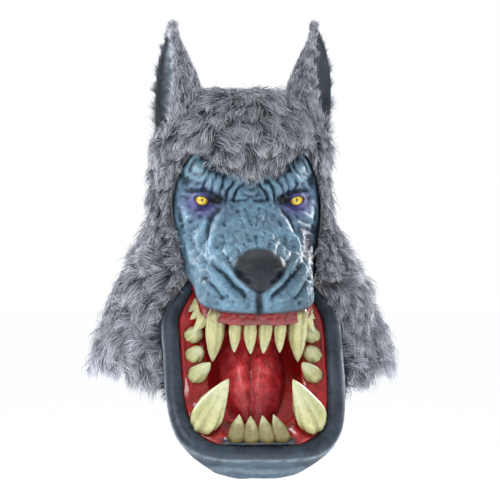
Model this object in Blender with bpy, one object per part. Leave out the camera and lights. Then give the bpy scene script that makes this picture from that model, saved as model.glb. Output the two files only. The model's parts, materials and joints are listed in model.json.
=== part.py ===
"""Werewolf mask: a fur hood with ears, a wrinkled face skin with a short snout, and a wide toothed jaw.

Metres, +Z up. The mask faces -Y and its left side is +X. The origin is where the top of the wearer's
head meets the inside of the hood. Tables hold shares of the named sizes unless a column says otherwise.
"""

import math
from collections import namedtuple

import bmesh
import bpy
from mathutils import Vector

MM = 0.001

# Clearances between pieces
SEAM_GAP = 0.5 * MM
FLANGE_GAP = 3.0 * MM
SEAT_GAP = 0.3 * MM
ROOM_GAP = 1.0 * MM
GUM_GAP = 0.7 * MM

# Hood
HEAD_HALF_WIDTH = 112 * MM
HEAD_FRONT = 106 * MM
HEAD_BACK = 122 * MM
HOOD_HEIGHT = 392 * MM
BIB_DROP = 80 * MM
HOOD_CLOTH = 2.5 * MM
PILE_ROOT = 4 * MM
PILE_TIP = 17 * MM
LOCK_OVERHANG = 7 * MM
LOCK_TIERS = 12
LOCK_COLUMNS = 30
SECTION_POWER = 2.3

# Face skin
FACE_HALF_WIDTH = 112 * MM
FACE_TOP = 70 * MM
LIP_DROP = 318 * MM
SNOUT_REACH = 110 * MM
LIP_TILT = math.radians(25)
FACE_WALL = 2.5 * MM
SEAM_FLANGE = math.radians(9)
RELIEF_CLEAR = 9 * MM
RELIEF_FADE = 8 * MM

# Nose, eyes and sight slits
NOSE_WIDTH = 72 * MM
NOSE_HEIGHT = 70 * MM
NOSE_RISE = 24 * MM
NOSE_DROP = 0.805 * LIP_DROP
NOSE_WALL = 3 * MM
EYE_RADIUS = 14 * MM
EYE_SPACING = 140 * MM
EYE_DROP = 0.478 * LIP_DROP
EYE_SINK = 7 * MM
SLIT_WIDTH = 15 * MM
SLIT_HEIGHT = 8 * MM
SLIT_SPACING = 98 * MM

# Upper mouth
UPPER_GUM_DROP = 18 * MM
UPPER_GUM_RISE = 14 * MM
UPPER_GUM_BAND = 30 * MM
UPPER_GUM_WALL = 3 * MM
PALATE_VAULT = 9 * MM

# Lower jaw
JAW_TILT = math.radians(62)
JAW_LENGTH = 281 * MM
JAW_HALF_WIDTH = 132 * MM
JAW_DEPTH = 58 * MM
JAW_WALL = 3 * MM
JAW_TAPER = 0.27
JAW_TAPER_LENGTH = 92 * MM
MOUTH_CORNER_SETBACK = 34 * MM
GUM_THICKNESS = 4 * MM
GUM_BAND = 38 * MM
LINING_WALL = 2 * MM
TONGUE_LENGTH = 162 * MM
TONGUE_WIDTH = 100 * MM
TONGUE_WALL = 3 * MM
TONGUE_HEIGHT = 46 * MM
TONGUE_GROOVE = 13 * MM

# Ears
EAR_HEIGHT = 176 * MM
EAR_BASE_DROP = 74 * MM
EAR_SPREAD = 128 * MM
EAR_DEPTH = 84 * MM
EAR_SETBACK = -26 * MM
EAR_CLOTH = 3 * MM
EAR_LINING = 1.5 * MM
EAR_PILE = 5 * MM

# One row for each ring of the hood, from the crown to the hem: drop is a share of HOOD_HEIGHT, width of
# HEAD_HALF_WIDTH, front of HEAD_FRONT and back of HEAD_BACK.
HoodRow = namedtuple("HoodRow", "drop width front back")
HOOD_ROWS = [
    HoodRow(0.000, 0.05, 0.05, 0.05),
    HoodRow(0.006, 0.30, 0.30, 0.28),
    HoodRow(0.030, 0.60, 0.60, 0.56),
    HoodRow(0.085, 0.86, 0.85, 0.82),
    HoodRow(0.165, 1.00, 0.96, 0.97),
    HoodRow(0.275, 1.05, 1.00, 1.02),
    HoodRow(0.400, 1.07, 1.01, 1.02),
    HoodRow(0.500, 1.14, 1.01, 0.98),
    HoodRow(0.600, 1.30, 1.04, 0.94),
    HoodRow(0.700, 1.47, 1.08, 0.97),
    HoodRow(0.800, 1.60, 1.15, 1.05),
    HoodRow(0.900, 1.72, 1.24, 1.15),
    HoodRow(1.000, 1.80, 1.32, 1.24),
]

# Half of the hood's face opening, from the point of the hairline outwards and down: across is a share of
# FACE_HALF_WIDTH and drop of LIP_DROP.
OpeningPoint = namedtuple("OpeningPoint", "across drop")
FACE_OPENING = [
    OpeningPoint(0.00, 0.396),
    OpeningPoint(0.18, 0.360),
    OpeningPoint(0.33, 0.335),
    OpeningPoint(0.47, 0.315),
    OpeningPoint(0.58, 0.290),
    OpeningPoint(0.68, 0.262),
    OpeningPoint(0.76, 0.268),
    OpeningPoint(0.86, 0.320),
    OpeningPoint(0.94, 0.390),
    OpeningPoint(0.98, 0.470),
    OpeningPoint(0.98, 0.540),
    OpeningPoint(0.95, 0.610),
    OpeningPoint(0.92, 0.680),
    OpeningPoint(0.88, 0.760),
    OpeningPoint(0.86, 1.180),
]

# One row for each level of the face skin. drop runs from FACE_TOP (0) to LIP_DROP (1) and tilt is a share
# of LIP_TILT. hug is how far the level keeps to the inside of the hood. edge is the seam's x as a share of
# the hood's half width there. The x columns are shares of FACE_HALF_WIDTH, and the y columns are shares of
# SNOUT_REACH in front of HEAD_FRONT.
FaceRow = namedtuple(
    "FaceRow",
    "drop tilt hug edge cheek_x cheek_y eye_x eye_y side_x side_y front_x front_y tip_y",
)
FACE_ROWS = [
    FaceRow(0.000, 0.0, 1.0, 0.70, 0.55, 0.00, 0.42, 0.00, 0.28, 0.00, 0.13, 0.00, 0.00),
    FaceRow(0.120, 0.0, 1.0, 0.77, 0.61, 0.00, 0.47, 0.00, 0.30, 0.00, 0.14, 0.00, 0.00),
    FaceRow(0.230, 0.0, 1.0, 0.86, 0.70, 0.00, 0.53, 0.00, 0.32, 0.00, 0.14, 0.00, 0.00),
    FaceRow(0.300, 0.0, 0.6, 0.92, 0.79, -0.18, 0.56, 0.00, 0.32, 0.08, 0.14, 0.12, 0.13),
    FaceRow(0.365, 0.0, 0.1, 0.95, 0.88, -0.34, 0.60, -0.06, 0.31, 0.04, 0.13, 0.12, 0.14),
    FaceRow(0.450, 0.1, 0.0, 0.94, 0.90, -0.36, 0.62, -0.06, 0.33, 0.16, 0.16, 0.30, 0.33),
    FaceRow(0.545, 0.2, 0.0, 0.87, 0.88, -0.32, 0.66, 0.00, 0.44, 0.30, 0.23, 0.54, 0.60),
    FaceRow(0.635, 0.35, 0.0, 0.79, 0.86, -0.26, 0.70, 0.06, 0.56, 0.44, 0.32, 0.78, 0.87),
    FaceRow(0.735, 0.6, 0.0, 0.72, 0.85, -0.21, 0.74, 0.13, 0.67, 0.54, 0.42, 0.90, 1.00),
    FaceRow(0.830, 0.8, 0.0, 0.66, 0.84, -0.16, 0.76, 0.18, 0.73, 0.60, 0.50, 0.90, 1.00),
    FaceRow(0.925, 1.0, 0.0, 0.62, 0.84, -0.12, 0.77, 0.20, 0.745, 0.61, 0.54, 0.84, 0.95),
    FaceRow(1.000, 1.0, 0.0, 0.61, 0.84, -0.12, 0.77, 0.20, 0.745, 0.61, 0.54, 0.84, 0.95),
]

# How many steps the face skin takes from each row to the next, and from each column to the next up to the
# middle
FACE_ROW_STEPS = [1, 1, 2, 2, 2, 2, 2, 2, 2, 2, 1]
FACE_COLUMN_STEPS = [1, 2, 2, 3, 3, 3]
LIP_FIRST_COLUMN = 4

# Forms raised from the face skin, each one mirrored: across is a share of FACE_HALF_WIDTH and drop of
# LIP_DROP, half_width and half_height are shares of FACE_HALF_WIDTH, turn is in degrees and rise in metres.
FaceForm = namedtuple("FaceForm", "across drop half_width half_height turn rise")
FACE_FORMS = {
    "brow_ridge": FaceForm(0.54, 0.370, 0.28, 0.10, 33, 15 * MM),
    "brow_end": FaceForm(0.74, 0.310, 0.12, 0.12, 20, 2 * MM),
    "brow_knot": FaceForm(0.00, 0.430, 0.10, 0.09, 0, 7 * MM),
    "eye_socket": FaceForm(0.62, 0.480, 0.19, 0.115, 18, -13 * MM),
    "inner_corner": FaceForm(0.44, 0.472, 0.09, 0.07, 15, -9 * MM),
    "lower_lid": FaceForm(0.66, 0.570, 0.20, 0.05, 16, 5 * MM),
    "cheekbone": FaceForm(0.86, 0.560, 0.12, 0.22, 0, 5 * MM),
    "bridge_hump": FaceForm(0.00, 0.535, 0.14, 0.10, 0, 5 * MM),
    "snarl_fold": FaceForm(0.42, 0.640, 0.22, 0.05, -38, 6 * MM),
    "snarl_groove": FaceForm(0.50, 0.700, 0.20, 0.05, -38, -5 * MM),
    "whisker_pad": FaceForm(0.40, 0.930, 0.24, 0.17, 0, 7 * MM),
    "philtrum": FaceForm(0.00, 0.955, 0.045, 0.15, 0, -7 * MM),
}

# One row for each ring of the nose, from top to bottom: height is a share of NOSE_HEIGHT above its middle,
# width of NOSE_WIDTH and rise of NOSE_RISE.
NoseRow = namedtuple("NoseRow", "height width rise")
NOSE_ROWS = [
    NoseRow(0.50, 0.42, 0.30),
    NoseRow(0.42, 0.72, 0.72),
    NoseRow(0.28, 0.92, 0.95),
    NoseRow(0.10, 1.00, 1.00),
    NoseRow(-0.08, 0.94, 0.92),
    NoseRow(-0.24, 0.72, 0.78),
    NoseRow(-0.40, 0.40, 0.62),
    NoseRow(-0.50, 0.18, 0.42),
]

# One row for each ring of the jaw skin, from the gum's edge over the rim and down to the base: width is a
# share of JAW_HALF_WIDTH, front of JAW_LENGTH before the mouth corner, back of JAW_LENGTH behind it, level
# of JAW_DEPTH above the gum, and square is the ring's exponent.
JawRow = namedtuple("JawRow", "width front back level square")
JAW_ROWS = [
    JawRow(0.810, 1.035, 0.050, -0.16, 0.50),
    JawRow(0.810, 1.035, 0.050, 0.00, 0.50),
    JawRow(0.850, 1.055, 0.060, 0.09, 0.50),
    JawRow(0.930, 1.085, 0.070, 0.11, 0.50),
    JawRow(1.000, 1.115, 0.080, -0.02, 0.50),
    JawRow(0.975, 1.125, 0.060, -0.24, 0.55),
    JawRow(0.860, 1.165, -0.060, -0.58, 0.72),
    JawRow(0.640, 1.040, -0.300, -1.00, 0.75),
]
LINING_ROWS = [
    JawRow(0.770, 1.010, 0.040, -0.095, 0.50),
    JawRow(0.730, 0.990, -0.020, -0.40, 0.55),
    JawRow(0.580, 0.900, -0.280, -0.76, 0.65),
]
JAW_RING_POINTS = 28

# One row for each tooth of one side. Below, across is a share of JAW_HALF_WIDTH and place the share of
# JAW_LENGTH from the mouth's corners. Above, across is a share of FACE_HALF_WIDTH and place the share of
# SNOUT_REACH in front of HEAD_FRONT. wide runs along the gum and thick across it, and lean_in and lean_up
# bend the tip.
ToothRow = namedtuple("ToothRow", "name across place wide thick tall lean_in lean_up sides")
LOWER_TEETH = [
    ToothRow("side_back", 0.660, 0.395, 26 * MM, 27 * MM, 20 * MM, 8 * MM, 2 * MM, 7),
    ToothRow("side_middle", 0.660, 0.510, 26 * MM, 27 * MM, 21 * MM, 9 * MM, 3 * MM, 7),
    ToothRow("side_front", 0.650, 0.630, 26 * MM, 28 * MM, 26 * MM, 18 * MM, 10 * MM, 7),
    ToothRow("canine", 0.600, 0.905, 44 * MM, 44 * MM, 62 * MM, 32 * MM, 40 * MM, 10),
    ToothRow("incisor_outer", 0.255, 0.990, 21 * MM, 16 * MM, 35 * MM, 3 * MM, 22 * MM, 7),
    ToothRow("incisor_inner", 0.085, 0.995, 21 * MM, 16 * MM, 34 * MM, 1 * MM, 22 * MM, 7),
]
UPPER_TEETH = [
    ToothRow("side_back", 0.655, 0.115, 19 * MM, 16 * MM, 24 * MM, -18 * MM, 0 * MM, 7),
    ToothRow("side_middle", 0.655, 0.310, 20 * MM, 16 * MM, 26 * MM, -18 * MM, 0 * MM, 7),
    ToothRow("side_front", 0.640, 0.505, 21 * MM, 17 * MM, 34 * MM, -17 * MM, 0 * MM, 7),
    ToothRow("canine", 0.535, 0.700, 28 * MM, 27 * MM, 72 * MM, -3 * MM, 6 * MM, 10),
    ToothRow("incisor_outer", 0.292, 0.800, 19 * MM, 16 * MM, 50 * MM, -1 * MM, 4 * MM, 7),
    ToothRow("incisor_inner", 0.102, 0.835, 20 * MM, 16 * MM, 51 * MM, 1 * MM, 4 * MM, 7),
]

# One row for each section of an ear, from its base to its tip: rise is a share of EAR_HEIGHT, medial, front
# and rear are x as shares of EAR_SPREAD, and depth is a share of EAR_DEPTH.
EarRow = namedtuple("EarRow", "rise medial front rear depth")
EAR_ROWS = [
    EarRow(0.00, 0.60, 0.945, 0.985, 0.50),
    EarRow(0.14, 0.52, 0.925, 0.995, 0.84),
    EarRow(0.30, 0.50, 0.885, 1.000, 0.99),
    EarRow(0.46, 0.53, 0.850, 1.000, 1.00),
    EarRow(0.62, 0.60, 0.835, 0.985, 0.84),
    EarRow(0.76, 0.69, 0.830, 0.955, 0.60),
    EarRow(0.89, 0.77, 0.835, 0.905, 0.32),
    EarRow(1.00, 0.81, 0.828, 0.842, 0.07),
]
EAR_COLUMNS = 9
EAR_LEVELS = 9

# Base colour, roughness
Finish = namedtuple("Finish", "colour roughness")
FINISHES = {
    "grey_fur": Finish((0.33, 0.33, 0.36, 1), 0.95),
    "ear_skin": Finish((0.30, 0.37, 0.44, 1), 0.60),
    "face_skin": Finish((0.22, 0.35, 0.45, 1), 0.50),
    "nose_paint": Finish((0.02, 0.02, 0.03, 1), 0.40),
    "jaw_skin": Finish((0.07, 0.10, 0.14, 1), 0.50),
    "mouth_red": Finish((0.50, 0.02, 0.03, 1), 0.25),
    "tooth": Finish((0.85, 0.78, 0.48, 1), 0.30),
    "eye_yellow": Finish((0.85, 0.70, 0.10, 1), 0.10),
}


def signed_power(value, power):
    return math.copysign(abs(value) ** power, value)


def smooth_step(value):
    t = min(1.0, max(0.0, value))
    return t * t * (3 - 2 * t)


def catmull(before, start, end, after, t):
    """The Catmull-Rom curve between start and end, for numbers or vectors."""
    return 0.5 * (
        2 * start
        + (end - before) * t
        + (2 * before - 5 * start + 4 * end - after) * t * t
        + (3 * start - before - 3 * end + after) * t * t * t
    )


def curve_at(values, place):
    """A smooth curve through the values, read at place, which runs from 0 to their number less 1."""
    last = len(values) - 1
    index = min(last - 1, max(0, int(place)))
    before, after = values[max(0, index - 1)], values[min(last, index + 2)]
    return catmull(before, values[index], values[index + 1], after, place - index)


def row_at(rows, place):
    return type(rows[0])(*(curve_at(column, place) for column in zip(*rows)))


def clear_scene():
    for obj in list(bpy.data.objects):
        bpy.data.objects.remove(obj, do_unlink=True)


def material(slot):
    found = bpy.data.materials.get(slot)
    if found:
        return found
    made = bpy.data.materials.new(slot)
    made.use_nodes = True
    shader = made.node_tree.nodes["Principled BSDF"]
    shader.inputs["Base Color"].default_value = FINISHES[slot].colour
    shader.inputs["Roughness"].default_value = FINISHES[slot].roughness
    shader.inputs["Metallic"].default_value = 0.0
    made.diffuse_color = FINISHES[slot].colour
    return made


def add_object(name, points, faces, slot=None):
    """A mesh object with its faces turned outwards. One with no slot is a cutter, which isn't rendered."""
    mesh = bpy.data.meshes.new(name)
    mesh.from_pydata([tuple(p) for p in points], [], faces)
    shape = bmesh.new()
    shape.from_mesh(mesh)
    bmesh.ops.recalc_face_normals(shape, faces=shape.faces)
    shape.to_mesh(mesh)
    shape.free()
    obj = bpy.data.objects.new(name, mesh)
    bpy.context.scene.collection.objects.link(obj)
    if slot:
        mesh.materials.append(material(slot))
    else:
        obj.hide_render = True
        obj.display_type = "WIRE"
    return obj


def cut(obj, cutter):
    """Takes the cutter's shape out of obj."""
    modifier = obj.modifiers.new("cut_" + cutter.name, "BOOLEAN")
    modifier.operation = "DIFFERENCE"
    modifier.solver = "EXACT"
    modifier.object = cutter


def stack(name, rings, slot=None):
    """A closed solid through rings of as many points each, with its two end rings filled."""
    count = len(rings[0])
    points = [p for ring in rings for p in ring]
    faces = [tuple(range(count)), tuple(reversed(range(len(points) - count, len(points))))]
    for row in range(len(rings) - 1):
        for k in range(count):
            here, there = row * count, (row + 1) * count
            after = (k + 1) % count
            faces.append((here + k, there + k, there + after, here + after))
    return add_object(name, points, faces, slot)


def sheet(name, outer, inner, slot=None, wrap=False):
    """A closed wall between two grids of points, given as rows. wrap joins the last column to the first and
    fills the first row of each grid."""
    rows, columns = len(outer), len(outer[0])
    points = [p for row in outer for p in row] + [p for row in inner for p in row]
    below = rows * columns
    faces = []
    for row in range(rows - 1):
        for column in range(columns if wrap else columns - 1):
            after = (column + 1) % columns
            a, b = row * columns + column, row * columns + after
            c, d = a + columns, b + columns
            faces.append((a, b, d, c))
            faces.append((below + a, below + c, below + d, below + b))
    end = (rows - 1) * columns
    for column in range(columns if wrap else columns - 1):
        after = (column + 1) % columns
        faces.append((end + column, end + after, below + end + after, below + end + column))
        if not wrap:
            faces.append((column, below + column, below + after, after))
    if wrap:
        faces.append(tuple(range(columns)))
        faces.append(tuple(below + column for column in reversed(range(columns))))
    else:
        for row in range(rows - 1):
            a, c = row * columns, (row + 1) * columns
            faces.append((a, c, below + c, below + a))
            b, d = a + columns - 1, c + columns - 1
            faces.append((b, below + b, below + d, d))
    return add_object(name, points, faces, slot)


def grid_normals(grid):
    """The unit normal at each point of a grid given as rows."""
    rows, columns = len(grid), len(grid[0])
    normals = []
    for i in range(rows):
        line = []
        for j in range(columns):
            down = grid[min(rows - 1, i + 1)][j] - grid[max(0, i - 1)][j]
            along = grid[i][min(columns - 1, j + 1)] - grid[i][max(0, j - 1)]
            line.append(along.cross(down).normalized())
        normals.append(line)
    return normals


def offset_grid(grid, distance):
    return [
        [point + normal * distance for point, normal in zip(line, normal_line)]
        for line, normal_line in zip(grid, grid_normals(grid))
    ]


# Hood


def hood_share_table():
    """The hood's side profile measured along its length, so that tiers of locks are evenly spaced."""
    steps = 240
    places = [k * (len(HOOD_ROWS) - 1) / steps for k in range(steps + 1)]
    lengths = [0.0]
    previous = None
    for place in places:
        row = row_at(HOOD_ROWS, place)
        here = Vector((row.width * HEAD_HALF_WIDTH, row.drop * HOOD_HEIGHT))
        if previous is not None:
            lengths.append(lengths[-1] + (here - previous).length)
        previous = here
    return places, [length / lengths[-1] for length in lengths]


HOOD_PLACES, HOOD_SHARES = hood_share_table()


def hood_place(share):
    """The place in the table of rings at this share of the profile's length."""
    for k in range(1, len(HOOD_SHARES)):
        if HOOD_SHARES[k] >= share or k == len(HOOD_SHARES) - 1:
            low, high = HOOD_SHARES[k - 1], HOOD_SHARES[k]
            return HOOD_PLACES[k - 1] + (HOOD_PLACES[k] - HOOD_PLACES[k - 1]) * (share - low) / (high - low)
    return HOOD_PLACES[-1]


def hood_base(place, angle):
    """A point on the inside of the hood: angle 0 is the front and a quarter turn is the left side."""
    row = row_at(HOOD_ROWS, place)
    power = 2 / SECTION_POWER
    across = signed_power(math.sin(angle), power) * row.width * HEAD_HALF_WIDTH
    ahead = signed_power(math.cos(angle), power)
    reach = row.front * HEAD_FRONT if ahead > 0 else row.back * HEAD_BACK
    towards_front = ((1 + math.cos(angle)) / 2) ** 8
    drop = row.drop * HOOD_HEIGHT + BIB_DROP * row.drop**6 * towards_front
    return Vector((across, -ahead * reach, -drop))


def hood_point(place, angle, out=0.0):
    """A point at a distance out from the inside of the hood."""
    step = 0.02
    last = len(HOOD_ROWS) - 1
    low, high = max(0.35, place - step), min(last, max(0.35, place - step) + 2 * step)
    down = hood_base(high, angle) - hood_base(low, angle)
    along = hood_base(max(0.35, place), angle + step) - hood_base(max(0.35, place), angle - step)
    return hood_base(place, angle) + down.cross(along).normalized() * out


def hood_place_at(z, angle):
    """The place in the table of rings where the hood's inside reaches this height, at this angle."""
    low, high = 0.0, len(HOOD_ROWS) - 1.0
    for _ in range(26):
        middle = (low + high) / 2
        if hood_base(middle, angle).z > z:
            low = middle
        else:
            high = middle
    return (low + high) / 2


def hood_ring(place, out):
    turn = 2 * math.pi / LOCK_COLUMNS
    return [hood_point(place, k * turn, out) for k in range(LOCK_COLUMNS)]


def make_hood():
    """The hood's cloth with its pile fused to it in tiers of pointed locks that overlap like shingles."""
    outer, inner = [], []
    turn = 2 * math.pi / LOCK_COLUMNS
    first_share = 0.03
    for tier in range(LOCK_TIERS):
        share = first_share + (1 - first_share) * tier / LOCK_TIERS
        tip_share = first_share + (1 - first_share) * (tier + 1) / LOCK_TIERS
        root, middle, tip = (hood_place(s) for s in (share, (share + tip_share) / 2, tip_share))
        outer.append(hood_ring(root, HOOD_CLOTH + PILE_ROOT))
        inner.append(hood_ring(root, 0.0))
        tips = []
        for k in range(LOCK_COLUMNS):
            long = (k + tier) % 2 == 0
            out = HOOD_CLOTH + (PILE_TIP if long else 0.55 * PILE_TIP)
            point = hood_point(tip, k * turn, out)
            downwards = (hood_point(tip, k * turn) - hood_point(middle, k * turn)).normalized()
            tips.append(point + downwards * (LOCK_OVERHANG if long else 0.0))
        outer.append(tips)
        inner.append(hood_ring(middle if tier < LOCK_TIERS - 1 else tip, 0.0))
    return sheet("fur_hood", outer, inner, "grey_fur", wrap=True)


def hood_form(name, out):
    """The hood as a closed lump, at a distance out from its inside."""
    shares = [0.02 + 0.98 * k / LOCK_TIERS for k in range(LOCK_TIERS + 1)]
    return stack(name, [hood_ring(hood_place(share), out) for share in shares])


def opening_outline():
    half = [(p.across * FACE_HALF_WIDTH, -p.drop * LIP_DROP) for p in FACE_OPENING]
    return half + [(-x, z) for x, z in reversed(half) if x > 0]


def make_opening_cutter():
    outline = opening_outline()
    front, back = -(HEAD_FRONT + 2 * SNOUT_REACH), -0.15 * HEAD_FRONT
    rings = [[Vector((x, y, z)) for x, z in outline] for y in (front, back)]
    return stack("opening_cutter", rings)


# Face


def depth_in_opening(x, z, outline):
    """How far a point seen from the front lies inside the face opening. It is negative outside."""
    nearest, inside = 1.0, False
    for (x0, z0), (x1, z1) in zip(outline, outline[1:] + outline[:1]):
        dx, dz = x1 - x0, z1 - z0
        t = min(1, max(0, ((x - x0) * dx + (z - z0) * dz) / (dx * dx + dz * dz)))
        nearest = min(nearest, math.hypot(x - x0 - t * dx, z - z0 - t * dz))
        if (z0 > z) != (z1 > z) and x < x0 + (z - z0) / (z1 - z0) * dx:
            inside = not inside
    return nearest if inside else -nearest


def face_relief(x, z, outline):
    """How far the forms of the face rise from its base surface at a point seen from the front."""
    total = 0.0
    for form in FACE_FORMS.values():
        for side in (-1, 1):
            dx = side * x - form.across * FACE_HALF_WIDTH
            dz = z + form.drop * LIP_DROP
            c, s = math.cos(math.radians(form.turn)), math.sin(math.radians(form.turn))
            u = (dx * c + dz * s) / (form.half_width * FACE_HALF_WIDTH)
            v = (dz * c - dx * s) / (form.half_height * FACE_HALF_WIDTH)
            total += form.rise * math.exp(-(u * u + v * v)) * (0.5 if form.across == 0 else 1.0)
    return total * smooth_step((depth_in_opening(x, z, outline) - RELIEF_CLEAR) / RELIEF_FADE)


def seam_angle(edge):
    return math.asin(edge ** (SECTION_POWER / 2))


def face_controls(row):
    """The points that one level of the face skin passes through, from its left flange to the middle."""
    tip_y = -(HEAD_FRONT + row.tip_y * SNOUT_REACH)
    level = -(FACE_TOP + row.drop * (LIP_DROP - FACE_TOP))
    slope = math.tan(row.tilt * LIP_TILT)
    angle = seam_angle(row.edge)
    controls = []
    for at in (angle + SEAM_FLANGE, angle):
        z = level
        for _ in range(4):
            seam = hood_point(hood_place_at(z, at), at, -FLANGE_GAP)
            z = level + slope * (seam.y - tip_y)
        controls.append(seam)
    ahead = [
        (row.cheek_x, row.cheek_y),
        (row.eye_x, row.eye_y),
        (row.side_x, row.side_y),
        (row.front_x, row.front_y),
        (0.0, row.tip_y),
    ]
    for x_share, y_share in ahead:
        x = x_share * FACE_HALF_WIDTH
        y = -(HEAD_FRONT + y_share * SNOUT_REACH)
        z = level + slope * (y - tip_y)
        ring = row_at(HOOD_ROWS, hood_place_at(z, 0.0))
        at = seam_angle(min(0.99, x / (ring.width * HEAD_HALF_WIDTH)))
        on_hood = hood_point(hood_place_at(z, at), at, -FLANGE_GAP).y
        controls.append(Vector((x, row.hug * on_hood + (1 - row.hug) * y, z)))
    return controls


def places_for(steps):
    """Places between the entries of a table, with so many steps from each entry to the next."""
    return [k + i / count for k, count in enumerate(steps) for i in range(count)] + [len(steps)]


def face_base():
    """The face skin's base surface as rows of points from left to right, top to lip."""
    rows = []
    for row_place in places_for(FACE_ROW_STEPS):
        half = face_controls(row_at(FACE_ROWS, row_place))
        whole = half + [Vector((-p.x, p.y, p.z)) for p in reversed(half[:-1])]
        column_places = places_for(FACE_COLUMN_STEPS + FACE_COLUMN_STEPS[::-1])
        rows.append([curve_at(whole, place) for place in column_places])
    return rows


def lip_plane_z(y):
    lip_y = -(HEAD_FRONT + FACE_ROWS[-1].tip_y * SNOUT_REACH)
    return -LIP_DROP + math.tan(LIP_TILT) * (y - lip_y)


def face_surface():
    """The face skin's outside: its base surface with the forms of the face raised from it, straight ahead
    round the eyes, so that they clear the hood, and square to the skin below. Its last row is the lip, which
    keeps to a plane."""
    base = face_base()
    outline = opening_outline()
    surface = []
    for line, normals in zip(base, grid_normals(base)):
        raised = []
        for point, normal in zip(line, normals):
            below_eyes = smooth_step(-2 - 4 * point.z / LIP_DROP)
            way = Vector((0, -1, 0)).lerp(normal, below_eyes).normalized()
            raised.append(point + way * face_relief(point.x, point.z, outline))
        surface.append(raised)
    surface[-1] = [Vector((p.x, p.y, lip_plane_z(p.y))) for p in surface[-1]]
    return surface


def make_face(surface):
    return sheet("face_skin", surface, offset_grid(surface, -FACE_WALL), "face_skin")


def face_form(name, surface, out):
    """The face as a closed lump, at a distance out from its surface, for cutting what sits on it."""
    front = offset_grid(surface, out)
    back = [[Vector((p.x, -0.3 * HEAD_FRONT, p.z)) for p in line] for line in front]
    return sheet(name, front, back)


def nearest_on(surface, x, z):
    points = (p for line in surface for p in line)
    return min(points, key=lambda p: (p.x - x) ** 2 + (p.z - z) ** 2)


def ball(name, centre, radii, slot=None, sides=12, rings=7):
    """An ellipsoid with its poles along Y."""
    points = [centre + Vector((0, -radii[1], 0))]
    for ring in range(1, rings):
        polar = math.pi * ring / rings
        for k in range(sides):
            turn = 2 * math.pi * k / sides
            points.append(
                centre
                + Vector(
                    (
                        radii[0] * math.sin(polar) * math.cos(turn),
                        -radii[1] * math.cos(polar),
                        radii[2] * math.sin(polar) * math.sin(turn),
                    )
                )
            )
    points.append(centre + Vector((0, radii[1], 0)))
    last = len(points) - 1
    faces = []
    for k in range(sides):
        after = (k + 1) % sides
        faces.append((0, 1 + k, 1 + after))
        faces.append((last, last - sides + after, last - sides + k))
        for ring in range(rings - 2):
            a, b = 1 + ring * sides, 1 + (ring + 1) * sides
            faces.append((a + k, b + k, b + after, a + after))
    return add_object(name, points, faces, slot)


def make_eyes(face, surface):
    for name, side in (("left", 1), ("right", -1)):
        x = side * EYE_SPACING / 2
        front = nearest_on(surface, x, -EYE_DROP)
        centre = Vector((x, front.y + EYE_SINK, -EYE_DROP))
        ball("eye_" + name, centre, [EYE_RADIUS] * 3, "eye_yellow")
        cut(face, ball("eye_cutter_" + name, centre, [EYE_RADIUS + SEAM_GAP] * 3))
        slit_x = side * SLIT_SPACING / 2
        slit = nearest_on(surface, slit_x, -EYE_DROP)
        radii = (SLIT_WIDTH / 2, 6 * FACE_WALL, SLIT_HEIGHT / 2)
        cut(face, ball("slit_cutter_" + name, Vector((slit_x, slit.y, -EYE_DROP)), radii, sides=8, rings=6))


def nose_rings(seat_y, inset):
    """The nose's outer form, or its inner one where inset isn't 0, with the two nostrils pressed in."""
    sides, rings = 14, []
    for row in NOSE_ROWS:
        z = -NOSE_DROP + row.height * (NOSE_HEIGHT - 2 * inset)
        ring = []
        for k in range(sides):
            turn = 2 * math.pi * k / sides
            x = (row.width * NOSE_WIDTH / 2 - inset) * signed_power(math.sin(turn), 0.85)
            ahead = signed_power(math.cos(turn), 0.85)
            rise = row.rise * NOSE_RISE - inset if ahead > 0 else 1.6 * NOSE_RISE
            across_nostril = (abs(x) - 0.27 * NOSE_WIDTH) / (0.10 * NOSE_WIDTH)
            nostril = math.exp(-(across_nostril**2) - ((row.height + 0.10) / 0.16) ** 2)
            y = seat_y + 0.35 * NOSE_RISE - ahead * rise
            ring.append(Vector((x, y + (0.45 * NOSE_RISE * nostril if ahead > 0 else 0.0), z)))
        rings.append(ring)
    return rings


def make_nose(surface):
    """A broad hollow pad over the end of the snout, open to the face skin behind it."""
    seat_y = min(p.y for line in surface for p in line)
    nose = stack("nose", nose_rings(seat_y, 0.0), "nose_paint")
    cut(nose, stack("nose_hollow_cutter", nose_rings(seat_y, NOSE_WALL)))
    cut(nose, face_form("nose_seat_cutter", surface, ROOM_GAP))


# Upper mouth


def lip_outline(surface, inset):
    """The muzzle's part of the lip, moved inwards, as points from left to right."""
    lip = surface[-1]
    outline = []
    for j in range(LIP_FIRST_COLUMN, len(lip) - LIP_FIRST_COLUMN):
        along = lip[j + 1] - lip[j - 1]
        inwards = Vector((along.y, -along.x, 0)).normalized()
        if inwards.dot(Vector((0, -HEAD_FRONT, 0)) - lip[j]) < 0:
            inwards = -inwards
        point = lip[j] + inwards * inset
        outline.append(Vector((point.x, point.y, lip_plane_z(point.y))))
    return outline


def drawn_in(outline, distance):
    """An outline of the lip drawn in evenly towards the middle of its open side, in the lip's plane."""
    half_width = max(p.x for p in outline)
    back = max(p.y for p in outline)
    share = 1 - distance / half_width
    points = [(p.x * share, back + (p.y - back) * share) for p in outline]
    return [Vector((x, y, lip_plane_z(y))) for x, y in points]


def lowered(outline, distance):
    return [p - Vector((0, 0, distance)) for p in outline]


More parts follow.
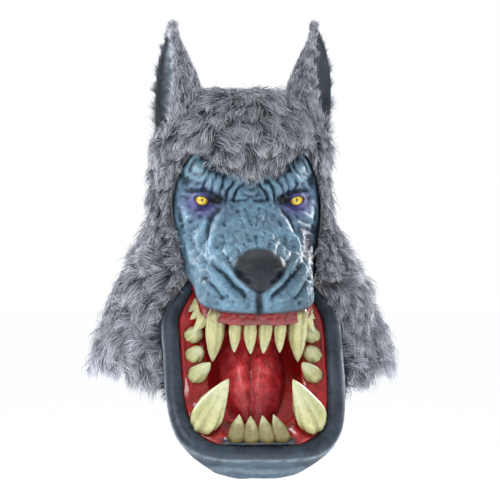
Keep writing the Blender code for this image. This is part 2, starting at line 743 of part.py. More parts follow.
def shell(name, rings, wall, slot):
    """A skin through the rings, filled at the last one, given its thickness on the inside."""
    count = len(rings[0])
    points = [p for ring in rings for p in ring]
    faces = [tuple(range(len(points) - count, len(points)))]
    for r in range(len(rings) - 1):
        for k in range(count):
            after = (k + 1) % count
            a, b = r * count, (r + 1) * count
            faces.append((a + k, a + after, b + after, b + k))
    obj = add_object(name, points, faces, slot)
    thicken = obj.modifiers.new("wall", "SOLIDIFY")
    thicken.thickness = wall
    thicken.offset = -1
    return obj


def make_upper_gum(surface):
    """The skin of the gum that the upper teeth hang from, with the roof of the mouth between its arms."""
    edge = lip_outline(surface, FACE_WALL + GUM_GAP)
    rings = [
        lowered(drawn_in(edge, 4 * MM), -UPPER_GUM_RISE),
        edge,
        lowered(edge, UPPER_GUM_DROP - 2 * MM),
        lowered(drawn_in(edge, 2 * MM), UPPER_GUM_DROP),
        lowered(drawn_in(edge, UPPER_GUM_BAND), UPPER_GUM_DROP),
        lowered(drawn_in(edge, UPPER_GUM_BAND + PALATE_VAULT), UPPER_GUM_DROP - PALATE_VAULT),
    ]
    shell("upper_gum", rings, UPPER_GUM_WALL, "mouth_red")


def tooth(name, base, up, wide_axis, tip, row):
    """A curved, pointed tooth from a flat oval base to its tip. up is the way it leaves the gum."""
    wide_axis = wide_axis.normalized()
    thick_axis = up.cross(wide_axis).normalized()
    levels = [(0.0, 0.72), (0.20, 0.98), (0.42, 1.0), (0.68, 0.70), (0.90, 0.30)]
    if row.sides < 9:
        levels = [(0.0, 0.86), (0.28, 1.0), (0.66, 0.72), (0.92, 0.28)]
    lean = tip - base - up * row.tall
    rings = []
    for height, girth in levels:
        centre = base + up * row.tall * height + lean * height**1.8
        ring = []
        for k in range(row.sides):
            turn = 2 * math.pi * k / row.sides
            wide = wide_axis * (math.cos(turn) * girth * row.wide / 2)
            ring.append(centre + wide + thick_axis * (math.sin(turn) * girth * row.thick / 2))
        rings.append(ring)
    count = row.sides
    points = [p for ring in rings for p in ring] + [tip]
    faces = [tuple(reversed(range(count)))]
    for r in range(len(rings) - 1):
        for k in range(count):
            after = (k + 1) % count
            a, b = r * count, (r + 1) * count
            faces.append((a + k, a + after, b + after, b + k))
    end = (len(rings) - 1) * count
    faces += [(end + k, end + (k + 1) % count, len(points) - 1) for k in range(count)]
    return add_object(name, points, faces, "tooth")


def make_upper_teeth():
    """Teeth on the flat underside of the upper gum, which lies in a plane parallel to the lip."""
    down = Vector((0, math.sin(LIP_TILT), -math.cos(LIP_TILT)))
    for row in UPPER_TEETH:
        for name, side in (("left", 1), ("right", -1)):
            y = -(HEAD_FRONT + row.place * SNOUT_REACH)
            under_gum = Vector((side * row.across * FACE_HALF_WIDTH, y, lip_plane_z(y) - UPPER_GUM_DROP))
            base = under_gum + down * SEAT_GAP
            wide_axis = Vector((1, 0, 0)) if row.name.startswith("incisor") else Vector((0, -1, 0))
            wide_axis = wide_axis - down * wide_axis.dot(down)
            tip = base + down * row.tall + Vector((-side * row.lean_in, -row.lean_up, 0))
            tooth("upper_" + row.name + "_" + name, base, down, wide_axis, tip, row)


# Lower jaw


def mouth_corner():
    """The middle of the line between the mouth's corners, which lies in the plane of the lip."""
    y = -(HEAD_FRONT - MOUTH_CORNER_SETBACK)
    return Vector((0, y, lip_plane_z(y)))


JAW_AHEAD = Vector((0, -math.cos(JAW_TILT), -math.sin(JAW_TILT)))
JAW_UP = Vector((0, -math.sin(JAW_TILT), math.cos(JAW_TILT)))


def jaw_point(x, ahead, level):
    return mouth_corner() + Vector((x, 0, 0)) + JAW_AHEAD * ahead + JAW_UP * level


def jaw_outline(row, inset=0.0):
    """One ring of the jaw, seen square to the gum, as pairs of across and ahead."""
    half_width = row.width * JAW_HALF_WIDTH - inset
    front, back = row.front * JAW_LENGTH - inset, row.back * JAW_LENGTH - inset
    outline = []
    for k in range(JAW_RING_POINTS):
        turn = 2 * math.pi * k / JAW_RING_POINTS
        ahead = (front - back) / 2 + (front + back) / 2 * signed_power(math.sin(turn), row.square)
        narrowing = 1 - JAW_TAPER * smooth_step(1 - ahead / JAW_TAPER_LENGTH)
        outline.append((half_width * narrowing * signed_power(math.cos(turn), row.square), ahead))
    return outline


def jaw_ring(row, inset=0.0, raise_by=0.0):
    level = row.level * JAW_DEPTH + raise_by
    return [jaw_point(x, ahead, level) for x, ahead in jaw_outline(row, inset)]


def make_lid_cutter():
    """Everything above the lip's plane, so that the jaw's pieces end just under the face."""
    low = mouth_corner() - Vector((0, 0, SEAM_GAP / math.cos(LIP_TILT)))
    reach, height = 2 * JAW_LENGTH, JAW_LENGTH
    slope = Vector((0, math.cos(LIP_TILT), math.sin(LIP_TILT)))
    up = Vector((0, -math.sin(LIP_TILT), math.cos(LIP_TILT)))
    rings = []
    for rise in (0.0, height):
        corners = [(-reach, -reach), (reach, -reach), (reach, reach), (-reach, reach)]
        rings.append([low + Vector((x, 0, 0)) + slope * s + up * rise for x, s in corners])
    return stack("lid_cutter", rings)


def make_lower_gum():
    """A flat-topped band round the jaw, inside its lip."""
    base = JAW_ROWS[1]
    half = JAW_RING_POINTS
    edge = 2 * MM
    outline = jaw_outline(base, SEAM_GAP)
    soft = jaw_outline(base, SEAM_GAP + edge)
    hole = jaw_outline(base, SEAM_GAP + GUM_BAND)
    hole_soft = jaw_outline(base, SEAM_GAP + GUM_BAND - edge)
    layers = [
        (outline, -GUM_THICKNESS),
        (outline, -edge),
        (soft, 0.0),
        (hole_soft, 0.0),
        (hole, -edge),
        (hole, -GUM_THICKNESS),
    ]
    points = [jaw_point(x, ahead, level) for ring, level in layers for x, ahead in ring]
    faces = []
    for r in range(len(layers)):
        a, b = r * half, (r + 1) % len(layers) * half
        faces += [(a + k, a + (k + 1) % half, b + (k + 1) % half, b + k) for k in range(half)]
    return add_object("lower_gum", points, faces, "mouth_red")


def make_jaw_cutter():
    """The room that the jaw takes in the hood: its outer form, and everything in front of its rim."""
    outer = JAW_ROWS[3:]
    rings = [jaw_ring(outer[1], -ROOM_GAP, 2 * JAW_DEPTH)]
    rings += [jaw_ring(row, -ROOM_GAP) for row in outer[1:]]
    rings.append(jaw_ring(outer[-1], -ROOM_GAP, -ROOM_GAP))
    return stack("jaw_cutter", rings)


def make_tongue():
    """The skin of a thick tongue of two lobes with a groove between them, lying on the floor of the mouth."""
    floor = LINING_ROWS[-1].level * JAW_DEPTH + LINING_WALL + SEAT_GAP
    start = 0.31 * JAW_LENGTH
    rows, columns = 6, 8
    top, bottom = [], []
    for i in range(rows + 1):
        t = i / rows
        ahead = start + t * TONGUE_LENGTH
        half_width = TONGUE_WIDTH / 2 * (1 - 0.75 * t**5) * (0.82 + 0.18 * math.sin(math.pi * t))
        height = TONGUE_HEIGHT * (1 - 0.80 * t**4) * (0.80 + 0.2 * math.sin(math.pi * t))
        top_line, bottom_line = [], []
        for j in range(columns + 1):
            u = 2 * j / columns - 1
            arch = (1 - abs(u) ** 3) * height
            groove = TONGUE_GROOVE * math.exp(-((u / 0.16) ** 2)) * (1 - 0.5 * t)
            rise = max(TONGUE_WALL, arch - groove)
            x = u * half_width
            top_line.append(jaw_point(x, ahead, floor + rise))
            bottom_line.append(jaw_point(x, ahead, floor + rise - TONGUE_WALL))
        top.append(top_line)
        bottom.append(bottom_line)
    return sheet("tongue", top, bottom, "mouth_red")


def make_lower_teeth():
    """Teeth on the flat top of the lower gum. Each one leaves it square and bends up and inwards."""
    for row in LOWER_TEETH:
        for name, side in (("left", 1), ("right", -1)):
            x = side * row.across * JAW_HALF_WIDTH
            base = jaw_point(x, row.place * JAW_LENGTH, SEAT_GAP)
            wide_axis = Vector((1, 0, 0)) if row.name.startswith("incisor") else JAW_AHEAD
            tip = base + JAW_UP * row.tall - JAW_AHEAD * row.lean_up - Vector((side * row.lean_in, 0, 0))
            tooth("lower_" + row.name + "_" + name, base, JAW_UP, wide_axis, tip, row)


# Ears


def ear_grid(side, inset):
    """The ear's cup as rows of points from its front rim round its inner side to its rear rim."""
    grid = []
    last = len(EAR_ROWS) - 1
    rows = [row_at(EAR_ROWS, k * last / (EAR_LEVELS - 1)) for k in range(EAR_LEVELS)]
    for row in rows:
        line = []
        for k in range(EAR_COLUMNS):
            turn = math.pi * (k / (EAR_COLUMNS - 1) - 0.5)
            rim = row.front + (row.rear - row.front) * (1 + math.sin(turn)) / 2
            middle = (row.front + row.rear) / 2
            x = (rim + (row.medial - middle) * math.cos(turn) ** 0.9) * EAR_SPREAD
            y = EAR_SETBACK + math.sin(turn) * row.depth * EAR_DEPTH / 2
            line.append(Vector((side * x, y, row.rise * EAR_HEIGHT - EAR_BASE_DROP)))
        grid.append(line)
    return offset_grid(grid, -side * inset)


def make_ear(side, name, root_form):
    outer = ear_grid(side, 0.0)
    locks = [
        [
            point - normal * (side * EAR_PILE * (i % 2) * (1.0 if (j + i // 2) % 2 else 0.45))
            for j, (point, normal) in enumerate(zip(line, normals))
        ]
        for i, (line, normals) in enumerate(zip(outer, grid_normals(outer)))
    ]
    ear = sheet("ear_" + name, locks, ear_grid(side, -EAR_CLOTH), "grey_fur")
    lining_out = EAR_CLOTH + SEAM_GAP
    lining = sheet(
        "ear_lining_" + name,
        ear_grid(side, -lining_out),
        ear_grid(side, -lining_out - EAR_LINING),
        "ear_skin",
    )
    for obj in (ear, lining):
        cut(obj, root_form)


def make_ear_room(side, name, root_form):
    """The room that an ear takes in the hood's pile, with the way out from its hollow."""
    aside = Vector((side * 0.3 * EAR_SPREAD, 0, 0))
    rings = [
        [line[0] + aside, *line, line[-1] + aside] for line in ear_grid(side, EAR_PILE + SEAM_GAP)
    ]
    room = stack("ear_room_" + name, rings)
    cut(room, root_form)
    return room


def main():
    clear_scene()
    hood = make_hood()
    surface = face_surface()
    face = make_face(surface)
    make_eyes(face, surface)
    make_nose(surface)
    make_upper_gum(surface)
    make_upper_teeth()

    lid = make_lid_cutter()
    jaw = shell("jaw_skin", [jaw_ring(row) for row in JAW_ROWS], JAW_WALL, "jaw_skin")
    lining = shell("mouth_lining", [jaw_ring(row) for row in LINING_ROWS], LINING_WALL, "mouth_red")
    gum = make_lower_gum()
    for obj in (jaw, lining, gum):
        cut(obj, lid)
    make_tongue()
    make_lower_teeth()

    root_out = HOOD_CLOTH + PILE_ROOT
    room_form = hood_form("hood_form_for_room", root_out)
    ear_form = hood_form("hood_form_for_ears", root_out + SEAM_GAP)
    for side, name in ((1, "left"), (-1, "right")):
        cut(hood, make_ear_room(side, name, room_form))
        make_ear(side, name, ear_form)
    cut(hood, make_opening_cutter())
    cut(hood, make_jaw_cutter())


main()
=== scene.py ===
"""Looks of the werewolf mask: its fur, painted skins, mouth, teeth, eyes and ears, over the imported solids.

Metres, +Z up. The mask faces -Y and its left side is +X. Tables hold shares of the named sizes unless a
column says otherwise. Colours are linear.
"""

import json
import math
from collections import namedtuple

import bmesh
import bpy
import numpy as np
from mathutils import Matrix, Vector, noise

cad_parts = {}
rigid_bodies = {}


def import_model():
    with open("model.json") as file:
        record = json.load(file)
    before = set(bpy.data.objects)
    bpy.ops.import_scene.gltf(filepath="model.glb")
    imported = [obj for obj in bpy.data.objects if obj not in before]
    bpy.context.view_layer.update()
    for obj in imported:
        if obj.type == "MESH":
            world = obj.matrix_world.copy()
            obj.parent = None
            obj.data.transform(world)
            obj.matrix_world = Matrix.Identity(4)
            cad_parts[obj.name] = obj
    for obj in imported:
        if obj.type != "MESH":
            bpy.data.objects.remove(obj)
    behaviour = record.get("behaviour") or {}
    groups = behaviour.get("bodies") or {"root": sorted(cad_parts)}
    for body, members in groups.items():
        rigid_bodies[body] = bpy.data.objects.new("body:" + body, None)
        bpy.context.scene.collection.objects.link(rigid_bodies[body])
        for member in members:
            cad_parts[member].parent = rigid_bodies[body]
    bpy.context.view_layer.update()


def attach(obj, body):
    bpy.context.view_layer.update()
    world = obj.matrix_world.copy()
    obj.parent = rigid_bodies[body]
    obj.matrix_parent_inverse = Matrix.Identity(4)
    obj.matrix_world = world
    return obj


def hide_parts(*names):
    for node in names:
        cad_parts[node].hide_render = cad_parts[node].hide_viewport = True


MM = 0.001
SIDES = (("left", 1), ("right", -1))

# Clearances between pieces
SEAM_GAP = 0.5 * MM
FLANGE_GAP = 3.0 * MM
SEAT_GAP = 0.3 * MM
ROOM_GAP = 1.0 * MM
GUM_GAP = 0.7 * MM

# Hood
HEAD_HALF_WIDTH = 112 * MM
HEAD_FRONT = 106 * MM
HEAD_BACK = 122 * MM
HOOD_HEIGHT = 392 * MM
BIB_DROP = 80 * MM
HOOD_CLOTH = 2.5 * MM
SECTION_POWER = 2.3

# Face skin
FACE_HALF_WIDTH = 112 * MM
FACE_TOP = 70 * MM
LIP_DROP = 318 * MM
SNOUT_REACH = 110 * MM
LIP_TILT = math.radians(25)
FACE_WALL = 2.5 * MM
SEAM_FLANGE = math.radians(9)
RELIEF_CLEAR = 9 * MM
RELIEF_FADE = 8 * MM

# Nose and eyes
NOSE_WIDTH = 72 * MM
NOSE_HEIGHT = 70 * MM
NOSE_RISE = 24 * MM
NOSE_DROP = 0.805 * LIP_DROP
NOSE_SPREAD = 1.15
EYE_RADIUS = 14 * MM
EYE_CENTRE_Y = -79 * MM

# The almond between the lids: its slant in degrees, and its half width and its height each way in mm
EYE_SLANT = 16
EYE_HALF_WIDTH = 11.0
EYE_UPPER_LID = 4.6
EYE_LOWER_LID = 6.4

# Where the eyes lie, and the slits beside them
EYE_SPACING = 140 * MM
EYE_DROP = 0.478 * LIP_DROP
SLIT_WIDTH = 15 * MM
SLIT_HEIGHT = 8 * MM
SLIT_SPACING = 98 * MM

# Upper mouth
UPPER_GUM_DROP = 18 * MM
UPPER_GUM_WALL = 3 * MM

# Lower jaw
JAW_TILT = math.radians(62)
JAW_LENGTH = 281 * MM
JAW_HALF_WIDTH = 132 * MM
JAW_DEPTH = 58 * MM
JAW_WALL = 3 * MM
JAW_TAPER = 0.27
JAW_TAPER_LENGTH = 92 * MM
MOUTH_CORNER_SETBACK = 34 * MM
LINING_WALL = 2 * MM
TONGUE_LENGTH = 162 * MM
TONGUE_WIDTH = 100 * MM
TONGUE_WALL = 3 * MM
TONGUE_HEIGHT = 46 * MM
TONGUE_GROOVE = 13 * MM

# Ears
EAR_HEIGHT = 176 * MM
EAR_BASE_DROP = 74 * MM
EAR_SPREAD = 128 * MM
EAR_DEPTH = 84 * MM
EAR_SETBACK = -26 * MM
EAR_CLOTH = 3 * MM
EAR_LINING = 1.5 * MM

# One row for each ring of the hood, from the crown to the hem: drop width front back
HOOD_ROWS = [
    (0.000, 0.05, 0.05, 0.05),
    (0.006, 0.30, 0.30, 0.28),
    (0.030, 0.60, 0.60, 0.56),
    (0.085, 0.86, 0.85, 0.82),
    (0.165, 1.00, 0.96, 0.97),
    (0.275, 1.05, 1.00, 1.02),
    (0.400, 1.07, 1.01, 1.02),
    (0.500, 1.14, 1.01, 0.98),
    (0.600, 1.30, 1.04, 0.94),
    (0.700, 1.47, 1.08, 0.97),
    (0.800, 1.60, 1.15, 1.05),
    (0.900, 1.72, 1.24, 1.15),
    (1.000, 1.80, 1.32, 1.24),
]

# Half of the hood's face opening: across drop
FACE_OPENING = [
    (0.00, 0.396),
    (0.18, 0.360),
    (0.33, 0.335),
    (0.47, 0.315),
    (0.58, 0.290),
    (0.68, 0.262),
    (0.76, 0.268),
    (0.86, 0.320),
    (0.94, 0.390),
    (0.98, 0.470),
    (0.98, 0.540),
    (0.95, 0.610),
    (0.92, 0.680),
    (0.88, 0.760),
    (0.86, 1.180),
]

# One row for each level of the face skin
FACE_ROWS = [
    # drop tilt hug edge cheek_x cheek_y eye_x eye_y side_x side_y front_x front_y tip_y
    (0.000, 0.00, 1.0, 0.70, 0.55, 0.00, 0.42, 0.00, 0.280, 0.00, 0.13, 0.00, 0.00),
    (0.120, 0.00, 1.0, 0.77, 0.61, 0.00, 0.47, 0.00, 0.300, 0.00, 0.14, 0.00, 0.00),
    (0.230, 0.00, 1.0, 0.86, 0.70, 0.00, 0.53, 0.00, 0.320, 0.00, 0.14, 0.00, 0.00),
    (0.300, 0.00, 0.6, 0.92, 0.79, -0.18, 0.56, 0.00, 0.320, 0.08, 0.14, 0.12, 0.13),
    (0.365, 0.00, 0.1, 0.95, 0.88, -0.34, 0.60, -0.06, 0.310, 0.04, 0.13, 0.12, 0.14),
    (0.450, 0.10, 0.0, 0.94, 0.90, -0.36, 0.62, -0.06, 0.330, 0.16, 0.16, 0.30, 0.33),
    (0.545, 0.20, 0.0, 0.87, 0.88, -0.32, 0.66, 0.00, 0.440, 0.30, 0.23, 0.54, 0.60),
    (0.635, 0.35, 0.0, 0.79, 0.86, -0.26, 0.70, 0.06, 0.560, 0.44, 0.32, 0.78, 0.87),
    (0.735, 0.60, 0.0, 0.72, 0.85, -0.21, 0.74, 0.13, 0.670, 0.54, 0.42, 0.90, 1.00),
    (0.830, 0.80, 0.0, 0.66, 0.84, -0.16, 0.76, 0.18, 0.730, 0.60, 0.50, 0.90, 1.00),
    (0.925, 1.00, 0.0, 0.62, 0.84, -0.12, 0.77, 0.20, 0.745, 0.61, 0.54, 0.84, 0.95),
    (1.000, 1.00, 0.0, 0.61, 0.84, -0.12, 0.77, 0.20, 0.745, 0.61, 0.54, 0.84, 0.95),
]
FACE_ROW_STEPS = [5, 6, 9, 13, 18, 24, 24, 24, 20, 18, 12]
FACE_COLUMN_STEPS = [5, 8, 12, 22, 22, 32]
LIP_PLACE = 2.5

# Forms raised from the face skin, each one mirrored: across drop half_width half_height turn rise
FACE_FORMS = [
    (0.54, 0.370, 0.28, 0.10, 33, 15 * MM),
    (0.74, 0.310, 0.12, 0.12, 20, 2 * MM),
    (0.00, 0.430, 0.10, 0.09, 0, 7 * MM),
    (0.62, 0.480, 0.19, 0.115, 18, -13 * MM),
    (0.44, 0.472, 0.09, 0.07, 15, -9 * MM),
    (0.66, 0.570, 0.20, 0.05, 16, 5 * MM),
    (0.86, 0.560, 0.12, 0.22, 0, 5 * MM),
    (0.00, 0.535, 0.14, 0.10, 0, 5 * MM),
    (0.42, 0.640, 0.22, 0.05, -38, 6 * MM),
    (0.50, 0.700, 0.20, 0.05, -38, -5 * MM),
    (0.40, 0.930, 0.24, 0.17, 0, 7 * MM),
    (0.00, 0.955, 0.045, 0.15, 0, -7 * MM),
]

# Folds and creases of the face, each one mirrored: a line of points across and down in mm, how wide it is
# on each side and how far it rises, in mm. A crease has a negative rise.
Fold = namedtuple("Fold", "line wide rise")
FOLDS = [
    Fold([(30, -158), (40, -166), (50, -188), (60, -213), (65, -234)], 7.0, 6.5),
    Fold([(44, -162), (57, -178), (67, -200), (74, -222), (78, -246)], 4.6, -8.0),
    Fold([(98, -182), (82, -173), (66, -167), (52, -160)], 4.0, 3.5),
    Fold([(100, -192), (82, -183), (66, -177)], 2.8, -2.4),
    Fold([(97, -201), (80, -194), (70, -190)], 2.6, -1.6),
    Fold([(0, -152), (18, -153), (33, -151)], 2.6, -4.5),
    Fold([(0, -158), (15, -160), (28, -163)], 4.0, 2.0),
    Fold([(12, -160), (7, -176), (3, -192)], 2.2, -3.0),
    Fold([(22, -164), (17, -180), (13, -194)], 2.4, -2.4),
    Fold([(0, -202), (0, -222)], 2.6, -3.4),
    Fold([(14, -198), (9, -212)], 2.6, -2.0),
    Fold([(64, -232), (46, -250), (31, -268), (14, -286)], 4.6, 5.0),
    Fold([(70, -241), (52, -260), (36, -278), (16, -294)], 3.6, -7.0),
    Fold([(76, -250), (58, -270), (42, -287), (24, -301)], 4.6, 5.0),
    Fold([(80, -262), (64, -281), (49, -297)], 3.2, -4.4),
    Fold([(9, -292), (11, -314)], 4.0, 2.0),
    Fold([(38, -144), (52, -132), (68, -125), (90, -124)], 7.0, 7.5),
    Fold([(38, -152), (50, -145), (66, -138), (92, -137)], 3.0, -6.5),
    Fold([(84, -150), (94, -146), (103, -148)], 2.4, -2.2),
    Fold([(84, -160), (96, -160), (104, -165)], 2.4, -2.2),
    Fold([(82, -170), (93, -176), (99, -184)], 2.4, -2.0),
    Fold([(36, -212), (28, -224), (26, -236)], 3.0, -2.6),
    Fold([(52, -226), (44, -240), (40, -252)], 3.0, -2.6),
    Fold([(20, -214), (15, -222)], 2.6, -2.2),
    Fold([(88, -205), (80, -228), (78, -250), (80, -275)], 3.2, -2.6),
    Fold([(97, -205), (90, -228), (87, -250)], 4.0, 2.4),
]

# Pits in the face, each one mirrored: across down half_width half_height turn depth, in mm and degrees
PITS = [
    (59, -220, 3.2, 7.0, 40, 4.0),
    (82, -232, 3.0, 6.0, 20, 3.0),
    (74, -259, 3.0, 6.0, 15, 3.0),
    (45, -289, 3.0, 5.0, 30, 3.0),
    (41, -187, 2.8, 6.0, 10, 3.2),
    (46, -207, 2.6, 5.0, 20, 3.0),
    (30, -206, 3.0, 4.0, -30, 2.0),
    (67, -240, 2.4, 4.0, 60, 2.2),
    (60, -300, 3.0, 4.0, 0, 2.4),
]

# The ribs of the brow: they lie across a line from the bridge to the brow's outer end, in mm
BROW_INNER = (8, -143)
BROW_OUTER = (80, -95)
RIB_SPACING = 12.5
RIB_GROOVE = 2.6
RIB_DEPTH = 8.5

# The knob at each brow's outer end, and the round beside it that stays free of fur
BLOCK = (75 * MM, -104 * MM)
BARE_ROUND = (75 * MM, -97 * MM)
BARE_RADIUS = 18 * MM
BLOCK_TURN = 28
BLOCK_HALF_WIDTH = 17 * MM
BLOCK_HALF_HEIGHT = 21 * MM
BLOCK_RISE = 10.0

# One row for each ring of the jaw skin: width front back level square
JAW_ROWS = [
    (0.810, 1.035, 0.050, -0.16, 0.50),
    (0.810, 1.035, 0.050, 0.00, 0.50),
    (0.850, 1.055, 0.060, 0.09, 0.50),
    (0.930, 1.085, 0.070, 0.11, 0.50),
    (1.000, 1.115, 0.080, -0.02, 0.50),
    (0.975, 1.125, 0.060, -0.24, 0.55),
    (0.860, 1.165, -0.060, -0.58, 0.72),
    (0.640, 1.040, -0.300, -1.00, 0.75),
]
LINING_ROWS = [
    (0.770, 1.010, 0.040, -0.095, 0.50),
    (0.730, 0.990, -0.020, -0.40, 0.55),
    (0.580, 0.900, -0.280, -0.76, 0.65),
]

# One row for each tooth of one side
ToothRow = namedtuple("ToothRow", "name across place wide thick tall lean_in lean_up")
LOWER_TEETH = [
    ToothRow("side_back", 0.660, 0.395, 26 * MM, 27 * MM, 20 * MM, 8 * MM, 2 * MM),
    ToothRow("side_middle", 0.660, 0.510, 26 * MM, 27 * MM, 21 * MM, 9 * MM, 3 * MM),
    ToothRow("side_front", 0.650, 0.630, 26 * MM, 28 * MM, 26 * MM, 18 * MM, 10 * MM),
    ToothRow("canine", 0.600, 0.905, 44 * MM, 44 * MM, 62 * MM, 32 * MM, 40 * MM),
    ToothRow("incisor_outer", 0.255, 0.990, 21 * MM, 16 * MM, 35 * MM, 3 * MM, 22 * MM),
    ToothRow("incisor_inner", 0.085, 0.995, 21 * MM, 16 * MM, 34 * MM, 1 * MM, 22 * MM),
]
UPPER_TEETH = [
    ToothRow("side_back", 0.655, 0.115, 19 * MM, 16 * MM, 24 * MM, -18 * MM, 0 * MM),
    ToothRow("side_middle", 0.655, 0.310, 20 * MM, 16 * MM, 26 * MM, -18 * MM, 0 * MM),
    ToothRow("side_front", 0.640, 0.505, 21 * MM, 17 * MM, 34 * MM, -17 * MM, 0 * MM),
    ToothRow("canine", 0.535, 0.700, 28 * MM, 27 * MM, 72 * MM, -3 * MM, 6 * MM),
    ToothRow("incisor_outer", 0.292, 0.800, 19 * MM, 16 * MM, 50 * MM, -1 * MM, 4 * MM),
    ToothRow("incisor_inner", 0.102, 0.835, 20 * MM, 16 * MM, 51 * MM, 1 * MM, 4 * MM),
]

# How high each level of a tooth lies and how wide the tooth is there, as shares of its height and width
CANINE_END = [(0.68, 0.70), (0.9, 0.30), (1.0, 0.02)]
CANINE_PROFILE = [(-0.06, 0.60), (0.0, 0.74), (0.2, 0.98), (0.42, 1.0)] + CANINE_END
LOWER_INCISOR_PROFILE = [(-0.10, 0.84), (0.0, 0.98), (0.30, 1.10), (0.58, 0.90), (0.84, 0.44), (1.0, 0.03)]
UPPER_CANINE_PROFILE = [(-0.24, 0.50), (-0.12, 0.84), (0.0, 0.94), (0.2, 1.0), (0.42, 0.98)] + CANINE_END
TOOTH_PROFILE = [(-0.10, 0.70), (0.0, 0.88), (0.28, 1.0), (0.66, 0.72), (0.92, 0.28), (1.0, 0.02)]

# One row for each section of an ear: rise medial front rear depth
EAR_ROWS = [
    (0.00, 0.60, 0.945, 0.985, 0.50),
    (0.14, 0.52, 0.925, 0.995, 0.84),
    (0.30, 0.50, 0.885, 1.000, 0.99),
    (0.46, 0.53, 0.850, 1.000, 1.00),
    (0.62, 0.60, 0.835, 0.985, 0.84),
    (0.76, 0.69, 0.830, 0.955, 0.60),
    (0.89, 0.77, 0.835, 0.905, 0.32),
    (1.00, 0.81, 0.828, 0.842, 0.07),
]

# How the ears differ: the front and the rear rim moved out, as shares, where the painted shade at the
# lining's rear starts, how far up the painted shade at its foot reaches, and how much painted light
# brightens the fur
EarSide = namedtuple("EarSide", "front rear dark_rear dark_foot fur")
EAR_SIDES = {1: EarSide(-0.07, 0.045, 0.50, 0.52, 1.0), -1: EarSide(0.0, -0.02, 0.86, 0.40, 1.18)}

# Fur: its clumps and how far their ways spread in radians, its strands, the share of them that stray, and
# the fringe that hangs over the face's edge
CLUMP_SPACING = 12 * MM
CLUMP_STRANDS = 50
CLUMP_RADIUS = CLUMP_SPACING * 0.72
CLUMP_TURN = 0.42
STRAND_TURN = 0.36
STRAND_LENGTH = 31 * MM
STRAND_WIDTH = 1.05 * MM
FUR_PIECES = 5
STRAY_SHARE = 0.14
FRINGE_SHARE = 0.62
FRINGE_REACH = 8 * MM
FRINGE_PULL = 2.5
FRINGE_LENGTH = 1.25
EAR_STRANDS = 11500
PILE_FOOT = HOOD_CLOTH + 1 * MM
# Fur colours from root to tip: the fur's own grey, darkened at the root as painted shade deep in the pile
# and paled at the tip as painted highlight.
FUR_ROOT = (0.030, 0.032, 0.038)
FUR_MIDDLE = (0.135, 0.144, 0.168)
FUR_UPPER = (0.350, 0.368, 0.420)
FUR_TIP = (0.780, 0.800, 0.850)

# Paint, as linear colours
SKIN = (0.090, 0.168, 0.232)
SKIN_HIGHLIGHT = (0.270, 0.410, 0.510)
SKIN_DARK = (0.006, 0.012, 0.022)
SKIN_PURPLE = (0.100, 0.080, 0.260)
NOSE_BLACK = (0.010, 0.012, 0.016)
SLATE = (0.019, 0.028, 0.041)
SLATE_HIGHLIGHT = (0.300, 0.400, 0.470)
CHIN_BLUE = (0.062, 0.104, 0.146)
GUM_RED = (0.400, 0.009, 0.010)
GUM_DEEP = (0.110, 0.002, 0.005)
TONGUE_RED = (0.490, 0.022, 0.030)
TOOTH_CREAM = (0.488, 0.492, 0.228)
TOOTH_TIP = (0.585, 0.600, 0.362)
TOOTH_OLIVE = (0.170, 0.135, 0.038)
EYE_YELLOW = (0.900, 0.680, 0.030)
EYE_OCHRE = (0.420, 0.220, 0.020)
EYE_RIM = (0.100, 0.045, 0.010)
EYE_SLIT = (0.004, 0.003, 0.003)
LID_DARK = (0.012, 0.008, 0.020)
CHEEK_SHADE = (0.024, 0.030, 0.055)
RIDGE_HIGHLIGHT = (0.320, 0.420, 0.500)
LIP_DARK = (0.045, 0.016, 0.022)
TOOTH_ROOT = (0.070, 0.030, 0.012)
FELT = [(0.045, 0.045, 0.052), (0.100, 0.100, 0.115)]
KNIT = [(0.140, 0.130, 0.130), (0.190, 0.180, 0.175)]
CUP_SHADE = (0.012, 0.018, 0.026)
EAR_FELT = [(0.050, 0.048, 0.055), (0.120, 0.115, 0.125)]
EAR_SKIN = [(0.200, 0.270, 0.340), (0.420, 0.500, 0.570)]
EAR_SHADE = (0.008, 0.014, 0.022)
EAR_FOOT_SHADE = (0.010, 0.020, 0.030)

# How finely the pieces are divided
CLOTH_GRID = (60, 120)
JAW_GRID = (50, 176)
LINING_GRID = (26, 144)
TONGUE_GRID = (64, 65)
EAR_GRID = (54, 41)
EAR_FUR_GRID = (90, 61)
EYE_GRID = (40, 56)
LUMP_GRID = (14, 30)


# The seed of the noise that bends the cells of crackle, so that each run makes the same ones
NOISE_SEED = 7


# Numbers and curves


def smooth(value):
    """A smooth step from 0 at 0 to 1 at 1."""
    t = np.clip(value, 0.0, 1.0)
    return t * t * (3 - 2 * t)


def ramp(value, start, width):
    """0 up to the start, then a smooth rise to 1 over this width."""
    return smooth((value - start) / width)


def hump(distance):
    """1 at no distance, falling away on both sides of it."""
    return np.exp(-(distance**2))


def signed_power(value, power):
    return np.sign(value) * np.abs(value) ** power


def mix(a, b, share):
    """Colours or points a and b mixed by a share, which may be an array."""
    a, b, share = np.asarray(a, float), np.asarray(b, float), np.asarray(share, float)
    return a + (b - a) * share[..., None]


def unit(vectors):
    return vectors / np.maximum(np.linalg.norm(vectors, axis=-1, keepdims=True), 1e-12)


def curve_at(values, place):
    """A smooth curve through the values, read at places that run from 0 to their number less 1."""
    values, place = np.asarray(values, float), np.asarray(place, float)
    last = len(values) - 1
    index = np.clip(place.astype(int), 0, last - 1)
    t = (place - index).reshape(place.shape + (1,) * (values.ndim - 1))
    before, start = values[np.maximum(index - 1, 0)], values[index]
    end, after = values[index + 1], values[np.minimum(index + 2, last)]
    return 0.5 * (
        2 * start
        + (end - before) * t
        + (2 * before - 5 * start + 4 * end - after) * t * t
        + (3 * start - before - 3 * end + after) * t**3
    )


def turns(count):
    """So many angles spread evenly round a circle, from 0."""
    return np.linspace(0, 2 * math.pi, count + 1)[:-1]


